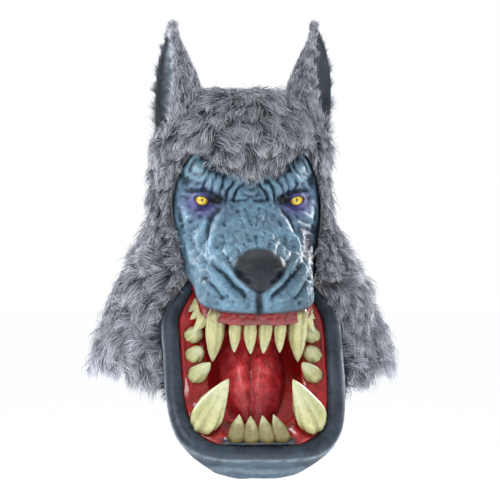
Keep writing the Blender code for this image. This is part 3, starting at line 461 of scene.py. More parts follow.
def slanted(x, z, degrees):
    """Places along and across a line that is turned by an angle."""
    c, s = math.cos(math.radians(degrees)), math.sin(math.radians(degrees))
    return x * c + z * s, z * c - x * s


def to_segment(x, z, start, end):
    """The offset of each point from a segment, and how far along it the nearest place lies, as a share."""
    (x0, z0), (x1, z1) = start, end
    dx, dz = x1 - x0, z1 - z0
    t = np.clip(((x - x0) * dx + (z - z0) * dz) / (dx * dx + dz * dz), 0, 1)
    return x - x0 - t * dx, z - z0 - t * dz, t


def places_for(steps):
    """Places between the entries of a table, with so many steps from each entry to the next."""
    return np.array([k + i / count for k, count in enumerate(steps) for i in range(count)] + [len(steps)])


def field(function, points):
    """A noise function read at each point of an array."""
    flat = [function(Vector(p)) for p in points.reshape(-1, 3)]
    return np.array(flat).reshape(points.shape[:-1])


def soft_noise(points, size, octaves=3):
    return field(lambda p: noise.fractal(p, 0.9, 2.0, octaves), points / size)


def patchy(points, size, contrast=0.8):
    """Noise pushed towards 0 and 1, for patches of paint."""
    return smooth(0.5 + contrast * soft_noise(points, size))


def crackle(points, size, width):
    """Near 1 on the lines between irregular cells of this size, and 0 inside them."""

    def line(p):
        near = noise.voronoi(p + noise.noise_vector(p * 0.6) * 0.45)[0]
        return math.exp(-(((near[1] - near[0]) / width) ** 2))

    return field(line, points / size)


def blurred(values, radius):
    """A grid of values averaged with its neighbours so many times."""
    for _ in range(radius):
        padded = np.pad(values, 1, mode="edge")
        across = padded[1:-1, :-2] + padded[1:-1, 2:]
        values = (2 * values + across + padded[:-2, 1:-1] + padded[2:, 1:-1]) / 6
    return values


# Meshes


def add_to_scene(name, data):
    obj = bpy.data.objects.new(name, data)
    bpy.context.scene.collection.objects.link(obj)
    return obj


def new_object(name, mesh, finish, tint):
    if tint is not None:
        colours = np.ones((len(mesh.vertices), 4), np.float32)
        colours[:, :3] = np.clip(np.asarray(tint).reshape(-1, 3), 0, 1)
        mesh.color_attributes.new("tint", "FLOAT_COLOR", "POINT").data.foreach_set("color", colours.ravel())
    obj = add_to_scene(name, mesh)
    if finish is None:
        obj.hide_render = True
        obj.display_type = "WIRE"
        return obj
    mesh.materials.append(finish)
    mesh.polygons.foreach_set("use_smooth", [True] * len(mesh.polygons))
    return obj


def add_object(name, points, faces, finish=None, tint=None):
    """A mesh object with its faces turned outwards. One with no finish is a cutter, which isn't shown."""
    mesh = bpy.data.meshes.new(name)
    mesh.from_pydata(np.asarray(points).reshape(-1, 3).tolist(), [], faces)
    shape = bmesh.new()
    shape.from_mesh(mesh)
    bmesh.ops.recalc_face_normals(shape, faces=shape.faces)
    shape.to_mesh(mesh)
    shape.free()
    return new_object(name, mesh, finish, tint)


def add_grid_faces(name, points, quads, triangles, finish, tint):
    """A large mesh object from arrays, with its faces as given."""
    mesh = bpy.data.meshes.new(name)
    mesh.vertices.add(len(points))
    mesh.vertices.foreach_set("co", np.asarray(points, np.float32).ravel())
    corners = np.concatenate([quads.ravel(), triangles.ravel()]).astype(np.int32)
    counts = np.concatenate([np.full(len(quads), 4), np.full(len(triangles), 3)])
    starts = np.concatenate([[0], np.cumsum(counts)[:-1]]).astype(np.int32)
    mesh.loops.add(len(corners))
    mesh.loops.foreach_set("vertex_index", corners)
    mesh.polygons.add(len(counts))
    mesh.polygons.foreach_set("loop_start", starts)
    mesh.update(calc_edges=True)
    return new_object(name, mesh, finish, tint)


def grid_quads(rows, columns, wrap=False):
    across = np.arange(columns if wrap else columns - 1)
    row, column = np.meshgrid(np.arange(rows - 1), across, indexing="ij")
    after = (column + 1) % columns
    a, b = row * columns + column, row * columns + after
    return np.stack([a, b, b + columns, a + columns], -1).reshape(-1, 4)


def sheet_faces(rows, columns, wrap=False):
    """The faces of a closed wall between two grids. wrap joins the last column to the first and fills the
    first row of each grid."""
    below = rows * columns
    quads = grid_quads(rows, columns, wrap).tolist()
    faces = quads + [[below + k for k in reversed(quad)] for quad in quads]
    end = (rows - 1) * columns
    for column in range(columns if wrap else columns - 1):
        after = (column + 1) % columns
        faces.append((end + column, end + after, below + end + after, below + end + column))
        if not wrap:
            faces.append((column, below + column, below + after, after))
    if wrap:
        faces.append(tuple(range(columns)))
        faces.append(tuple(below + column for column in reversed(range(columns))))
        return faces
    for row in range(rows - 1):
        a, c = row * columns, (row + 1) * columns
        faces.append((a, c, below + c, below + a))
        b, d = a + columns - 1, c + columns - 1
        faces.append((b, below + b, below + d, d))
    return faces


def ring_faces(rows, columns, first=False, last=True):
    """The faces through rings of points, with the first or the last ring filled."""
    faces = grid_quads(rows, columns, wrap=True).tolist()
    if first:
        faces.append(tuple(range(columns)))
    if last:
        faces.append(tuple(reversed(range((rows - 1) * columns, rows * columns))))
    return faces


def cut(obj, cutter):
    modifier = obj.modifiers.new("cut_" + cutter.name, "BOOLEAN")
    modifier.operation = "DIFFERENCE"
    modifier.solver = "EXACT"
    modifier.object = cutter


def thicken(obj, wall):
    modifier = obj.modifiers.new("wall", "SOLIDIFY")
    modifier.thickness = wall
    modifier.offset = -1


def settle(obj, bare=None):
    """Applies the modifiers, so that the piece's mesh is final. bare is the tint of the faces that a cut
    lays bare."""
    graph = bpy.context.evaluated_depsgraph_get()
    made = bpy.data.meshes.new_from_object(obj.evaluated_get(graph))
    obj.modifiers.clear()
    old = obj.data
    obj.data = made
    bpy.data.meshes.remove(old)
    if bare is None:
        return
    values = np.empty(len(made.vertices) * 4, np.float32)
    made.color_attributes["tint"].data.foreach_get("color", values)
    values = values.reshape(-1, 4)
    unset = (values[:, :3].min(axis=1) > 0.98) | (values[:, :3].max(axis=1) < 0.0005)
    values[unset, :3] = bare
    made.color_attributes["tint"].data.foreach_set("color", values.ravel())


def shell(obj, wall, cutter, bare, *nodes):
    """The piece given its wall, cut, made final and put in the place of these solids."""
    if wall:
        thicken(obj, wall)
    if cutter:
        cut(obj, cutter)
    settle(obj, bare)
    stand_in(obj, *nodes)


def grid_normals(grid):
    return unit(np.cross(np.gradient(grid, axis=1), np.gradient(grid, axis=0)))


def stand_in(piece, *nodes):
    """The piece rides on the mask and stands for these solids."""
    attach(piece, "root")
    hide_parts(*nodes)


# Hood


def hood_base(place, angle):
    """A point on the inside of the hood: angle 0 is the front and a quarter turn is the left side."""
    row = curve_at(HOOD_ROWS, place)
    power = 2 / SECTION_POWER
    across = signed_power(np.sin(angle), power) * row[..., 1] * HEAD_HALF_WIDTH
    ahead = signed_power(np.cos(angle), power)
    reach = np.where(ahead > 0, row[..., 2] * HEAD_FRONT, row[..., 3] * HEAD_BACK)
    towards_front = ((1 + np.cos(angle)) / 2) ** 8
    drop = row[..., 0] * HOOD_HEIGHT + BIB_DROP * row[..., 0] ** 6 * towards_front
    return np.stack([across, -ahead * reach, -drop], -1)


def hood_frame(place, angle):
    """The point on the inside of the hood, and the ways down, along and out of it there."""
    step = 0.02
    last = len(HOOD_ROWS) - 1
    low = np.maximum(0.35, place - step)
    high = np.minimum(last, low + 2 * step)
    middle = np.maximum(0.35, place)
    down = unit(hood_base(high, angle) - hood_base(low, angle))
    along = unit(hood_base(middle, angle + step) - hood_base(middle, angle - step))
    return hood_base(place, angle), down, along, unit(np.cross(down, along))


def hood_point(place, angle, out=0.0):
    point, _, _, normal = hood_frame(place, angle)
    return point + normal * out


def hood_place_at(z, angle):
    """The place in the table of rings where the hood's inside reaches this height, at this angle."""
    low, high = np.zeros_like(z), np.full_like(z, len(HOOD_ROWS) - 1.0)
    for _ in range(26):
        middle = (low + high) / 2
        above = hood_base(middle, angle)[..., 2] > z
        low, high = np.where(above, middle, low), np.where(above, high, middle)
    return (low + high) / 2


def hood_profile():
    """Places in the table of rings, and how far down the hood's side each one lies."""
    places = np.linspace(0, len(HOOD_ROWS) - 1, 241)
    rows = curve_at(HOOD_ROWS, places)
    side = np.stack([rows[:, 1] * HEAD_HALF_WIDTH, rows[:, 0] * HOOD_HEIGHT], -1)
    steps = np.linalg.norm(np.diff(side, axis=0), axis=1)
    return places, np.concatenate([[0], np.cumsum(steps)])


def hood_mesh(levels, columns):
    """The places and the angles of a grid of points spread evenly over the hood."""
    places, lengths = hood_profile()
    levels = np.interp(np.linspace(0.02, 1.0, levels) * lengths[-1], lengths, places)
    return np.meshgrid(levels, turns(columns), indexing="ij")


def in_hood(points, out):
    """Whether each point lies inside the hood grown by a distance."""
    z = np.clip(points[..., 2], -HOOD_HEIGHT, -1 * MM)
    row = curve_at(HOOD_ROWS, hood_place_at(z, np.full_like(z, math.pi / 2)))
    wide = row[..., 1] * HEAD_HALF_WIDTH + out
    deep = np.where(points[..., 1] < 0, row[..., 2] * HEAD_FRONT, row[..., 3] * HEAD_BACK) + out
    across, ahead = np.abs(points[..., 0]) / wide, np.abs(points[..., 1]) / deep
    return (across**SECTION_POWER + ahead**SECTION_POWER < 1) & (points[..., 2] < out)


def opening_outline():
    half = [(across * FACE_HALF_WIDTH, -drop * LIP_DROP) for across, drop in FACE_OPENING]
    return half + [(-x, z) for x, z in reversed(half) if x > 0]


def from_opening(x, z):
    """How far each point seen from the front lies outside the face opening, and the way there from it."""
    outline = opening_outline()
    nearest = np.full(x.shape, 1.0)
    away_x, away_z = np.zeros(x.shape), np.zeros(x.shape)
    inside = np.zeros(x.shape, bool)
    for (x0, z0), (x1, z1) in zip(outline, outline[1:] + outline[:1]):
        off_x, off_z, _ = to_segment(x, z, (x0, z0), (x1, z1))
        far = np.hypot(off_x, off_z)
        closer = far < nearest
        nearest = np.where(closer, far, nearest)
        away_x, away_z = np.where(closer, off_x, away_x), np.where(closer, off_z, away_z)
        crosses = ((z0 > z) != (z1 > z)) & (x < x0 + (z - z0) / (z1 - z0 + 1e-12) * (x1 - x0))
        inside ^= crosses
    return np.where(inside, -nearest, nearest), away_x / (nearest + 1e-9), away_z / (nearest + 1e-9)


def make_opening_cutter():
    outline = opening_outline()
    rings = [[(x, y, z) for x, z in outline] for y in (-(HEAD_FRONT + 2 * SNOUT_REACH), -0.15 * HEAD_FRONT)]
    return add_object("opening_cutter", rings, ring_faces(2, len(outline), first=True))


def make_backing(finish, jaw_cutter):
    """The hood's cloth, with a knit inside and the felted roots of the pile outside."""
    place, angle = hood_mesh(*CLOTH_GRID)
    outer = hood_point(place, angle, HOOD_CLOTH + 1.5 * MM)
    inner = hood_point(place, angle, 0.0)
    felt = mix(*FELT, soft_noise(outer, 9 * MM) * 0.5 + 0.5)
    # Painted shade on the cloth in and under each ear's hollow.
    felt = mix(felt, CUP_SHADE, 0.9 * in_ear_cup(outer))
    knit = mix(*KNIT, soft_noise(inner, 30 * MM) * 0.5 + 0.5)
    points, tint = np.concatenate([outer, inner]), np.concatenate([felt, knit])
    obj = add_object("hood_cloth", points, sheet_faces(*CLOTH_GRID, wrap=True), finish, tint)
    cut(obj, make_opening_cutter())
    shell(obj, None, jaw_cutter, (0.085, 0.085, 0.098), "fur_hood")


# Fur


def strand_points(roots, normals, ways, lengths, lifts, curls, phases, guides, pull):
    """Four points for each strand: it rises from its root, lies over along its way and curls, and is pulled
    towards its clump's guide."""
    t = np.array([0.0, 0.34, 0.68, 1.0])[None, :, None]
    run = np.array([0.0, 0.20, 0.56, 0.95])[None, :, None]
    rise = np.array([0.0, 0.27, 0.38, 0.36])[None, :, None]
    size = lengths[:, None, None]
    sides = np.cross(normals, ways)
    points = roots[:, None] + ways[:, None] * run * size
    points = points + normals[:, None] * rise * size * lifts[:, None, None]
    turn = phases[:, None, None] + 5.2 * t
    swing = curls[:, None, None] * t
    points = points + swing * (sides[:, None] * np.cos(turn) + normals[:, None] * 0.6 * np.sin(turn))
    if guides is None:
        return points
    share = pull[:, None, None] * t
    return points * (1 - share) + guides * share


def add_fur(name, points, widths, shades, rng, finish):
    """Strands as tapered blades through their four points."""
    count = len(points)
    along = unit(np.gradient(points, axis=1))
    spin = unit(rng.normal(size=(count, 1, 3)))
    across = unit(np.cross(along, spin)) * widths[:, None, None] / 2
    taper = np.array([1.0, 0.95, 0.62])[None, :, None]
    left, right = points[:, :3] - across[:, :3] * taper, points[:, :3] + across[:, :3] * taper
    verts = np.concatenate([np.stack([left, right], 2).reshape(count, 6, 3), points[:, 3:]], axis=1)
    start = (np.arange(count) * 7)[:, None]
    quads = np.concatenate([start + [0, 1, 3, 2], start + [2, 3, 5, 4]])
    triangles = start + [4, 5, 6]
    # Painted shade at the root and painted highlight at the tip, over the fur's own grey.
    shades_along = np.array([FUR_ROOT, FUR_ROOT, FUR_MIDDLE, FUR_MIDDLE, FUR_UPPER, FUR_UPPER, FUR_TIP])
    tint = shades_along[None] * shades[:, None, None]
    obj = add_grid_faces(name, verts.reshape(-1, 3), quads, triangles, finish, tint)
    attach(obj, "root")
    return obj


def jaw_room(points, margin):
    """Whether each point lies in the room that the jaw takes, grown by a margin."""
    rows = np.array(JAW_ROWS)[4:][::-1]
    offset = points - mouth_corner()
    ahead, level = offset @ JAW_AHEAD, (offset @ JAW_UP) / JAW_DEPTH
    width, front, back, square = (np.interp(level, rows[:, 3], rows[:, k]) for k in (0, 1, 2, 4))
    front, back = front * JAW_LENGTH + margin, back * JAW_LENGTH + margin
    narrowing = 1 - JAW_TAPER * smooth(1 - ahead / JAW_TAPER_LENGTH)
    across = np.abs(offset[..., 0]) / ((width * JAW_HALF_WIDTH + margin) * narrowing)
    along = np.abs(ahead - (front - back) / 2) / ((front + back) / 2)
    inside = along ** (2 / square) + across ** (2 / square) < 1
    return inside & (level > -1 - margin / JAW_DEPTH) & (level < 3)


def in_ear_cup(points):
    """Whether each point lies in or right under the hollow of an ear."""
    rise = np.clip((points[..., 2] + EAR_BASE_DROP) / EAR_HEIGHT, 0, 1)
    rows = np.array(EAR_ROWS)
    medial = np.interp(rise, rows[:, 0], rows[:, 1]) * EAR_SPREAD
    half_depth = np.interp(rise, rows[:, 0], rows[:, 4]) * EAR_DEPTH / 2
    near = np.abs(points[..., 1] - EAR_SETBACK) < 0.86 * half_depth
    return near & (np.abs(points[..., 0]) > medial + 6 * MM) & (points[..., 2] > -EAR_BASE_DROP + 8 * MM)


def turned(ways, normals, angles):
    sides = np.cross(normals, ways)
    return ways * np.cos(angles)[:, None] + sides * np.sin(angles)[:, None]


def lay_fields(points, down, normals, share):
    """The way that fur lies, and how long it is, at each root: down the hood, out round the face, aside by
    the jaw, and short at the opening, by the jaw and in the ears' cups."""
    far, away_x, away_z = from_opening(points[:, 0], points[:, 2])
    front = points[:, 1] < 0
    close = np.where(front, np.exp(-np.maximum(far, 0) / (20 * MM)), 0.0)
    none = np.zeros(len(points))
    away = np.stack([away_x, none, away_z], -1)
    by_jaw = jaw_room(points, 26 * MM)
    outwards = np.stack([np.sign(points[:, 0]), none, none], -1)
    aside = outwards + np.array([0, 0, -0.6])
    ways = down + 1.1 * away * close[:, None] + 0.8 * aside * by_jaw[:, None]
    ways = ways + 0.25 * outwards * ramp(share, 0.45, 0.3)[:, None]
    ways = unit(ways - normals * np.sum(ways * normals, -1, keepdims=True))
    lengths = STRAND_LENGTH * np.where(front, 0.40 + 0.60 * smooth(far / (34 * MM)), 1.0)
    lengths = lengths * np.where(by_jaw, 0.72, 1.0) * (1 + 0.18 * ramp(share, 0.55, 0.4))
    lengths = lengths * (0.80 + 0.20 * smooth(share / 0.2)) * np.where(in_ear_cup(points), 0.38, 1.0)
    return ways, lengths


def clump_places(rng, places, lengths):
    """Where each clump of the hood's fur grows: how far down the hood, as a share, and at which angle."""
    whole = lengths[-1]
    shares, angles = [], []
    for share in np.arange(0.02, 1.0, CLUMP_SPACING / whole):
        place = np.interp(share * whole, lengths, places)
        ring = hood_base(np.full(64, place), turns(64))
        round_it = np.linalg.norm(ring - np.roll(ring, 1, 0), axis=1).sum()
        count = max(3, int(round_it / CLUMP_SPACING))
        turn = (np.arange(count) + rng.uniform(-0.35, 0.35, count) + rng.uniform()) / count
        angles.append(turn * 2 * math.pi)
        shares.append(share + rng.uniform(-0.4, 0.4, count) * CLUMP_SPACING / whole)
    return np.clip(np.concatenate(shares), 0.015, 1.0), np.concatenate(angles)


def make_hood_fur(finish):
    """Clumps of strands that lie down the hood, over its edge round the face, and away from the jaw."""
    rng = np.random.default_rng(7)
    places, lengths = hood_profile()
    whole = lengths[-1]
    share, angle = clump_places(rng, places, lengths)
    place = np.interp(share * whole, lengths, places)
    point, down, _, normal = hood_frame(place, angle)
    radius = np.maximum(np.hypot(point[:, 0], point[:, 1]), 20 * MM)
    keep = keep_root(point, -16 * MM)
    share, angle, point, down, normal, radius = (
        values[keep] for values in (share, angle, point, down, normal, radius)
    )
    ways, sizes = lay_fields(point, down, normal, share)
    swirl = soft_noise(point, 55 * MM, 2) * 1.5 + rng.normal(0, CLUMP_TURN, len(point))
    ways = turned(ways, normal, swirl)
    sizes = sizes * rng.uniform(0.78, 1.22, len(point))
    lifts = rng.uniform(0.65, 1.35, len(point))
    curls = rng.uniform(1.5, 5.5, len(point)) * MM
    phases = rng.uniform(0, 2 * math.pi, len(point))
    roots = point + normal * PILE_FOOT
    guides = strand_points(roots, normal, ways, sizes, lifts, curls, phases, None, None)
    tone = np.clip(1 + 0.22 * soft_noise(point, 40 * MM, 2) + rng.normal(0, 0.16, len(point)), 0.55, 1.6)

    clump = np.repeat(np.arange(len(point)), CLUMP_STRANDS)
    count = len(clump)
    spread = CLUMP_RADIUS * np.sqrt(rng.uniform(0, 1, count))
    about = rng.uniform(0, 2 * math.pi, count)
    own_share = np.clip(share[clump] + spread * np.cos(about) / whole, 0.012, 1.0)
    own_angle = angle[clump] + spread * np.sin(about) / radius[clump]
    own_place = np.interp(own_share * whole, lengths, places)
    point, _, _, normal = hood_frame(own_place, own_angle)
    keep = keep_root(point, -1.0 * MM)
    clump, point, normal, own_share = clump[keep], point[keep], normal[keep], own_share[keep]
    count = len(clump)
    way = turned(unit(ways[clump]), normal, rng.normal(0, STRAND_TURN, count))
    far, away_x, away_z = from_opening(point[:, 0], point[:, 2])
    fringe = (far < FRINGE_REACH) & (point[:, 1] < 0) & (rng.uniform(size=count) < FRINGE_SHARE)
    fringe &= (np.abs(point[:, 0]) < 50 * MM) | (point[:, 2] < -118 * MM)
    inwards = np.stack([-away_x, 0 * away_x, -away_z - 0.5], -1) * rng.uniform(0.3, 1.2, (count, 1))
    way = np.where(fringe[:, None], way + FRINGE_PULL * inwards, way)
    hold = np.where(fringe & (np.abs(point[:, 0]) > 85 * MM), 0.35, 1.0)[:, None]
    way = unit(way - normal * hold * np.sum(way * normal, -1, keepdims=True))
    stray = rng.uniform(size=count) < STRAY_SHARE
    pull = np.where(stray, 0.12, rng.uniform(0.28, 0.74, count))
    size = sizes[clump] * rng.uniform(0.62, 1.08, count) * np.where(fringe, FRINGE_LENGTH, 1.0)
    crown = smooth((0.30 - own_share) / 0.2) * (point[:, 1] < 0)
    pull = np.where(fringe, 0.1, pull * (1 - 0.35 * crown))
    lift = lifts[clump] * rng.uniform(0.7, 1.3, count) * np.where(stray, 1.25, 1.0)
    curl = curls[clump] * rng.uniform(0.5, 1.3, count)
    phase = phases[clump] + rng.normal(0, 0.5, count)
    roots = point + normal * PILE_FOOT
    paths = strand_points(roots, normal, way, size, lift, curl, phase, guides[clump], pull)
    pale_hem = 1 + 0.10 * ramp(own_share, 0.35, 0.25) + 0.22 * ramp(own_share, 0.8, 0.2)
    tone = 1 + (tone[clump] - 1) * (1 - 0.5 * crown)
    shade = tone * rng.uniform(0.78, 1.25, count) * pale_hem
    widths = STRAND_WIDTH * rng.uniform(0.7, 1.25, count)
    about = np.arctan2(point[:, 0], -point[:, 1]) / (2 * math.pi) % 1.0
    sector = np.floor(about * FUR_PIECES).astype(int)
    for k in range(FUR_PIECES):
        chosen = sector == k
        add_fur("hood_fur_%d" % (k + 1), paths[chosen], widths[chosen], shade[chosen], rng, finish)


def keep_root(points, margin):
    """Whether fur grows at each point of the hood: outside its opening, the jaw's room and the ears."""
    far = from_opening(points[:, 0], points[:, 2])[0]
    by_block = np.hypot(np.abs(points[:, 0]) - BARE_ROUND[0], points[:, 2] - BARE_ROUND[1]) < BARE_RADIUS
    in_opening = ((far < margin) | by_block) & (points[:, 1] < -0.15 * HEAD_FRONT)
    return ~in_opening & ~jaw_room(points, ROOM_GAP + max(margin, 0))


# Face


def face_controls(places):
    """The points that each level of the face skin passes through, from its left flange to the middle."""
    rows = curve_at(FACE_ROWS, places)
    drop, tilt, hug, edge, cheek_x, cheek_y, eye_x, eye_y, side_x, side_y, front_x, front_y, tip = rows.T
    tip_y = -(HEAD_FRONT + tip * SNOUT_REACH)
    level = -(FACE_TOP + drop * (LIP_DROP - FACE_TOP))
    slope = np.tan(tilt * LIP_TILT)
    angle = np.arcsin(edge ** (SECTION_POWER / 2))
    controls = []
    for at in (angle + SEAM_FLANGE, angle):
        z = level
        for _ in range(4):
            seam = hood_point(hood_place_at(z, at), at, -FLANGE_GAP)
            z = level + slope * (seam[:, 1] - tip_y)
        controls.append(seam)
    ahead = [(cheek_x, cheek_y), (eye_x, eye_y), (side_x, side_y), (front_x, front_y), (0 * tip, tip)]
    for x_share, y_share in ahead:
        x = x_share * FACE_HALF_WIDTH
        y = -(HEAD_FRONT + y_share * SNOUT_REACH)
        z = level + slope * (y - tip_y)
        ring = curve_at(HOOD_ROWS, hood_place_at(z, 0 * z))
        at = np.arcsin(np.minimum(0.99, x / (ring[:, 1] * HEAD_HALF_WIDTH)) ** (SECTION_POWER / 2))
        on_hood = hood_point(hood_place_at(z, at), at, -FLANGE_GAP)[:, 1]
        controls.append(np.stack([x, hug * on_hood + (1 - hug) * y, z], -1))
    return np.stack(controls, 1)


def face_base():
    half = face_controls(places_for([4] * (len(FACE_ROWS) - 1)))
    mirrored = half[:, :-1][:, ::-1] * [-1, 1, 1]
    controls = np.concatenate([half, mirrored], axis=1)
    columns = places_for(FACE_COLUMN_STEPS + FACE_COLUMN_STEPS[::-1])
    lines = curve_at(controls.transpose(1, 0, 2), columns).transpose(1, 0, 2)
    return curve_at(lines, 4 * places_for(FACE_ROW_STEPS)), columns


def lip_plane_z(y):
    lip_y = -(HEAD_FRONT + FACE_ROWS[-1][12] * SNOUT_REACH)
    return -LIP_DROP + math.tan(LIP_TILT) * (y - lip_y)


def line_distance(x, z, line):
    """How far each point is from a line of points, and how far along it the nearest place lies."""
    nearest, at = np.full(x.shape, 1e9), np.zeros(x.shape)
    for k, (start, end) in enumerate(zip(line, line[1:])):
        off_x, off_z, t = to_segment(x, z, start, end)
        far = np.hypot(off_x, off_z)
        at = np.where(far < nearest, (k + t) / (len(line) - 1), at)
        nearest = np.minimum(nearest, far)
    return nearest, at


def face_forms(x, z):
    """The large forms of the face, in metres."""
    total = np.zeros(x.shape)
    for across, drop, half_width, half_height, turn, rise in FACE_FORMS:
        for side in (-1, 1):
            u, v = slanted(side * x - across * FACE_HALF_WIDTH, z + drop * LIP_DROP, turn)
            spot = hump(u / (half_width * FACE_HALF_WIDTH)) * hump(v / (half_height * FACE_HALF_WIDTH))
            total += rise * spot * (0.5 if across == 0 else 1.0)
    return total


def face_details(base):
    """The folds, ribs, pits and fine wrinkles of the face, in mm."""
    wander = np.stack([soft_noise(base + k, 16 * MM, 2) for k in (0.0, 1.0)], -1)
    x = np.abs(base[..., 0]) / MM + 1.6 * wander[..., 0]
    z = base[..., 2] / MM + 1.6 * wander[..., 1]
    total = np.zeros(x.shape)
    for fold in FOLDS:
        far, at = line_distance(x, z, fold.line)
        ends = smooth(at / 0.15 + 0.25) * smooth((1 - at) / 0.15 + 0.25)
        total += fold.rise * hump(far / fold.wide) * ends
    for across, down, half_width, half_height, turn, depth in PITS:
        u, v = slanted(x - across, z - down, turn)
        total -= depth * hump(u / half_width) * hump(v / half_height)
    along_x, along_z = BROW_OUTER[0] - BROW_INNER[0], BROW_OUTER[1] - BROW_INNER[1]
    long = math.hypot(along_x, along_z)
    u = ((x - BROW_INNER[0]) * along_x + (z - BROW_INNER[1]) * along_z) / long
    v = ((z - BROW_INNER[1]) * along_x - (x - BROW_INNER[0]) * along_z) / long
    bend = u + 0.012 * v * v + 2.0 * wander[..., 1]
    beside = (bend + RIB_SPACING / 2) % RIB_SPACING - RIB_SPACING / 2
    band = ramp(u, 4, 8) * smooth((66 - u) / 6) * np.exp(-(((v + 7) / 22) ** 4))
    total += band * (3.2 - RIB_DEPTH * hump(beside / RIB_GROOVE))
    knot = np.hypot(x / 11, (z + 137) / 10)
    total += 2.5 * np.exp(-(knot**4)) - 3.0 * hump((knot - 1.15) / 0.22) * (z < -124)
    wrinkled = 0.55 + 0.45 * smooth(soft_noise(base, 45 * MM, 2) + 0.5)
    total -= 1.15 * crackle(base, 14 * MM, 0.14) * wrinkled + 0.25 * crackle(base, 5 * MM, 0.22)
    total += 0.5 * soft_noise(base, 5 * MM, 3) + 2.2 * soft_noise(base, 17 * MM, 2)
    return total


def brow_block(x, z):
    """The knob that ends each brow, with a ring worn into it: its rise in mm, and where the ring lies."""
    u, v = slanted(np.abs(x) - BLOCK[0], z - BLOCK[1], BLOCK_TURN)
    far = np.sqrt(np.hypot((u / BLOCK_HALF_WIDTH) ** 2, (v / BLOCK_HALF_HEIGHT) ** 2))
    ring, moat = hump((far - 0.55) / 0.12), hump((far - 1.12) / 0.12)
    return BLOCK_RISE * smooth((1 - far) / 0.30) - 5.0 * ring - 1.4 * moat, ring


def nose_form(x, z):
    """The nose's rise and its nostrils in mm, and how far each point is inside its outline, from 0 to 1."""
    x, z = np.abs(x) / (NOSE_SPREAD * MM), z / MM
    middle = -NOSE_DROP / MM
    level = (z - middle) / (NOSE_HEIGHT / MM / 2)
    shares = [0.16, 0.40, 0.78, 1.0, 0.93, 0.62]
    half_width = NOSE_WIDTH / MM / 2 * np.interp(level, [-1.0, -0.75, -0.3, 0.15, 0.6, 1.0], shares)
    across = x / half_width
    body = 1 - (np.abs(across) ** 2.6 + np.abs(level) ** 3.2)
    rise = (NOSE_RISE / MM * 0.50) * np.sqrt(np.clip(body, 0, 1))
    nostril = [(33, middle + 2), (27, middle - 6), (18, middle - 13), (12, middle - 16)]
    far, at = line_distance(x, z, nostril)
    slit = hump(far / 3.0) * smooth((1 - at) / 0.2 + 0.2)
    round_hole = hump((x - 25) / 6.0) * hump((z - middle + 3) / 5.0)
    groove = hump(x / 2.2) * smooth((middle + 4 - z) / 12)
    rise = rise - 7.5 * slit - 8.0 * round_hole - 3.0 * groove
    return rise * (body > 0) * smooth(body * 3), smooth(body * 1.3 + 0.36)


def make_face(finish):
    base, columns = face_base()
    normals = grid_normals(base)
    x, z = base[..., 0], base[..., 2]
    depth = -from_opening(x, z)[0]
    inside = smooth((depth - RELIEF_CLEAR) / RELIEF_FADE)
    details = face_details(base) * smooth((depth - 3 * MM) / (6 * MM))
    details = details + brow_block(x, z)[0] * smooth((depth + 1 * MM) / (4 * MM))
    lip_fade = smooth(np.arange(len(base))[::-1] / 8.0)[:, None]
    nose_rise, in_nose = nose_form(x, z)
    details = details * (1 - 0.85 * in_nose) * lip_fade
    rise = face_forms(x, z) * inside + details * MM
    below_eyes = smooth(-2 - 4 * z / LIP_DROP)
    forwards = np.array([0.0, -1.0, 0.0])
    way = unit(mix(forwards + 0 * normals, normals, below_eyes))
    surface = base + way * rise[..., None] + forwards * (nose_rise * MM)[..., None]
    surface[-1, :, 2] = lip_plane_z(surface[-1, :, 1])

    tint = face_paint(base, x, z, blurred(rise / MM, 14) - rise / MM, in_nose)
    for side in (1, -1):
        surface, tint = set_eye(surface, tint, side)
    points, tint = surface.reshape(-1, 3), tint.reshape(-1, 3)
    quads = grid_quads(*x.shape)
    centre = points[quads].mean(1)
    u = (np.abs(centre[:, 0]) - SLIT_SPACING / 2) / (SLIT_WIDTH / 2)
    v = (centre[:, 2] + EYE_DROP) / (SLIT_HEIGHT / 2)
    quads = quads[u * u + v * v > 1]
    used = np.unique(quads)
    index = np.full(len(points), -1)
    index[used] = np.arange(len(used))
    quads = index[quads][:, ::-1]
    no_triangles = np.zeros((0, 3), int)
    obj = add_grid_faces(
        "face_latex", points[used], quads, no_triangles, finish, tint[used]
    )
    shell(obj, -FACE_WALL, None, None, "face_skin", "nose")
    return surface, columns


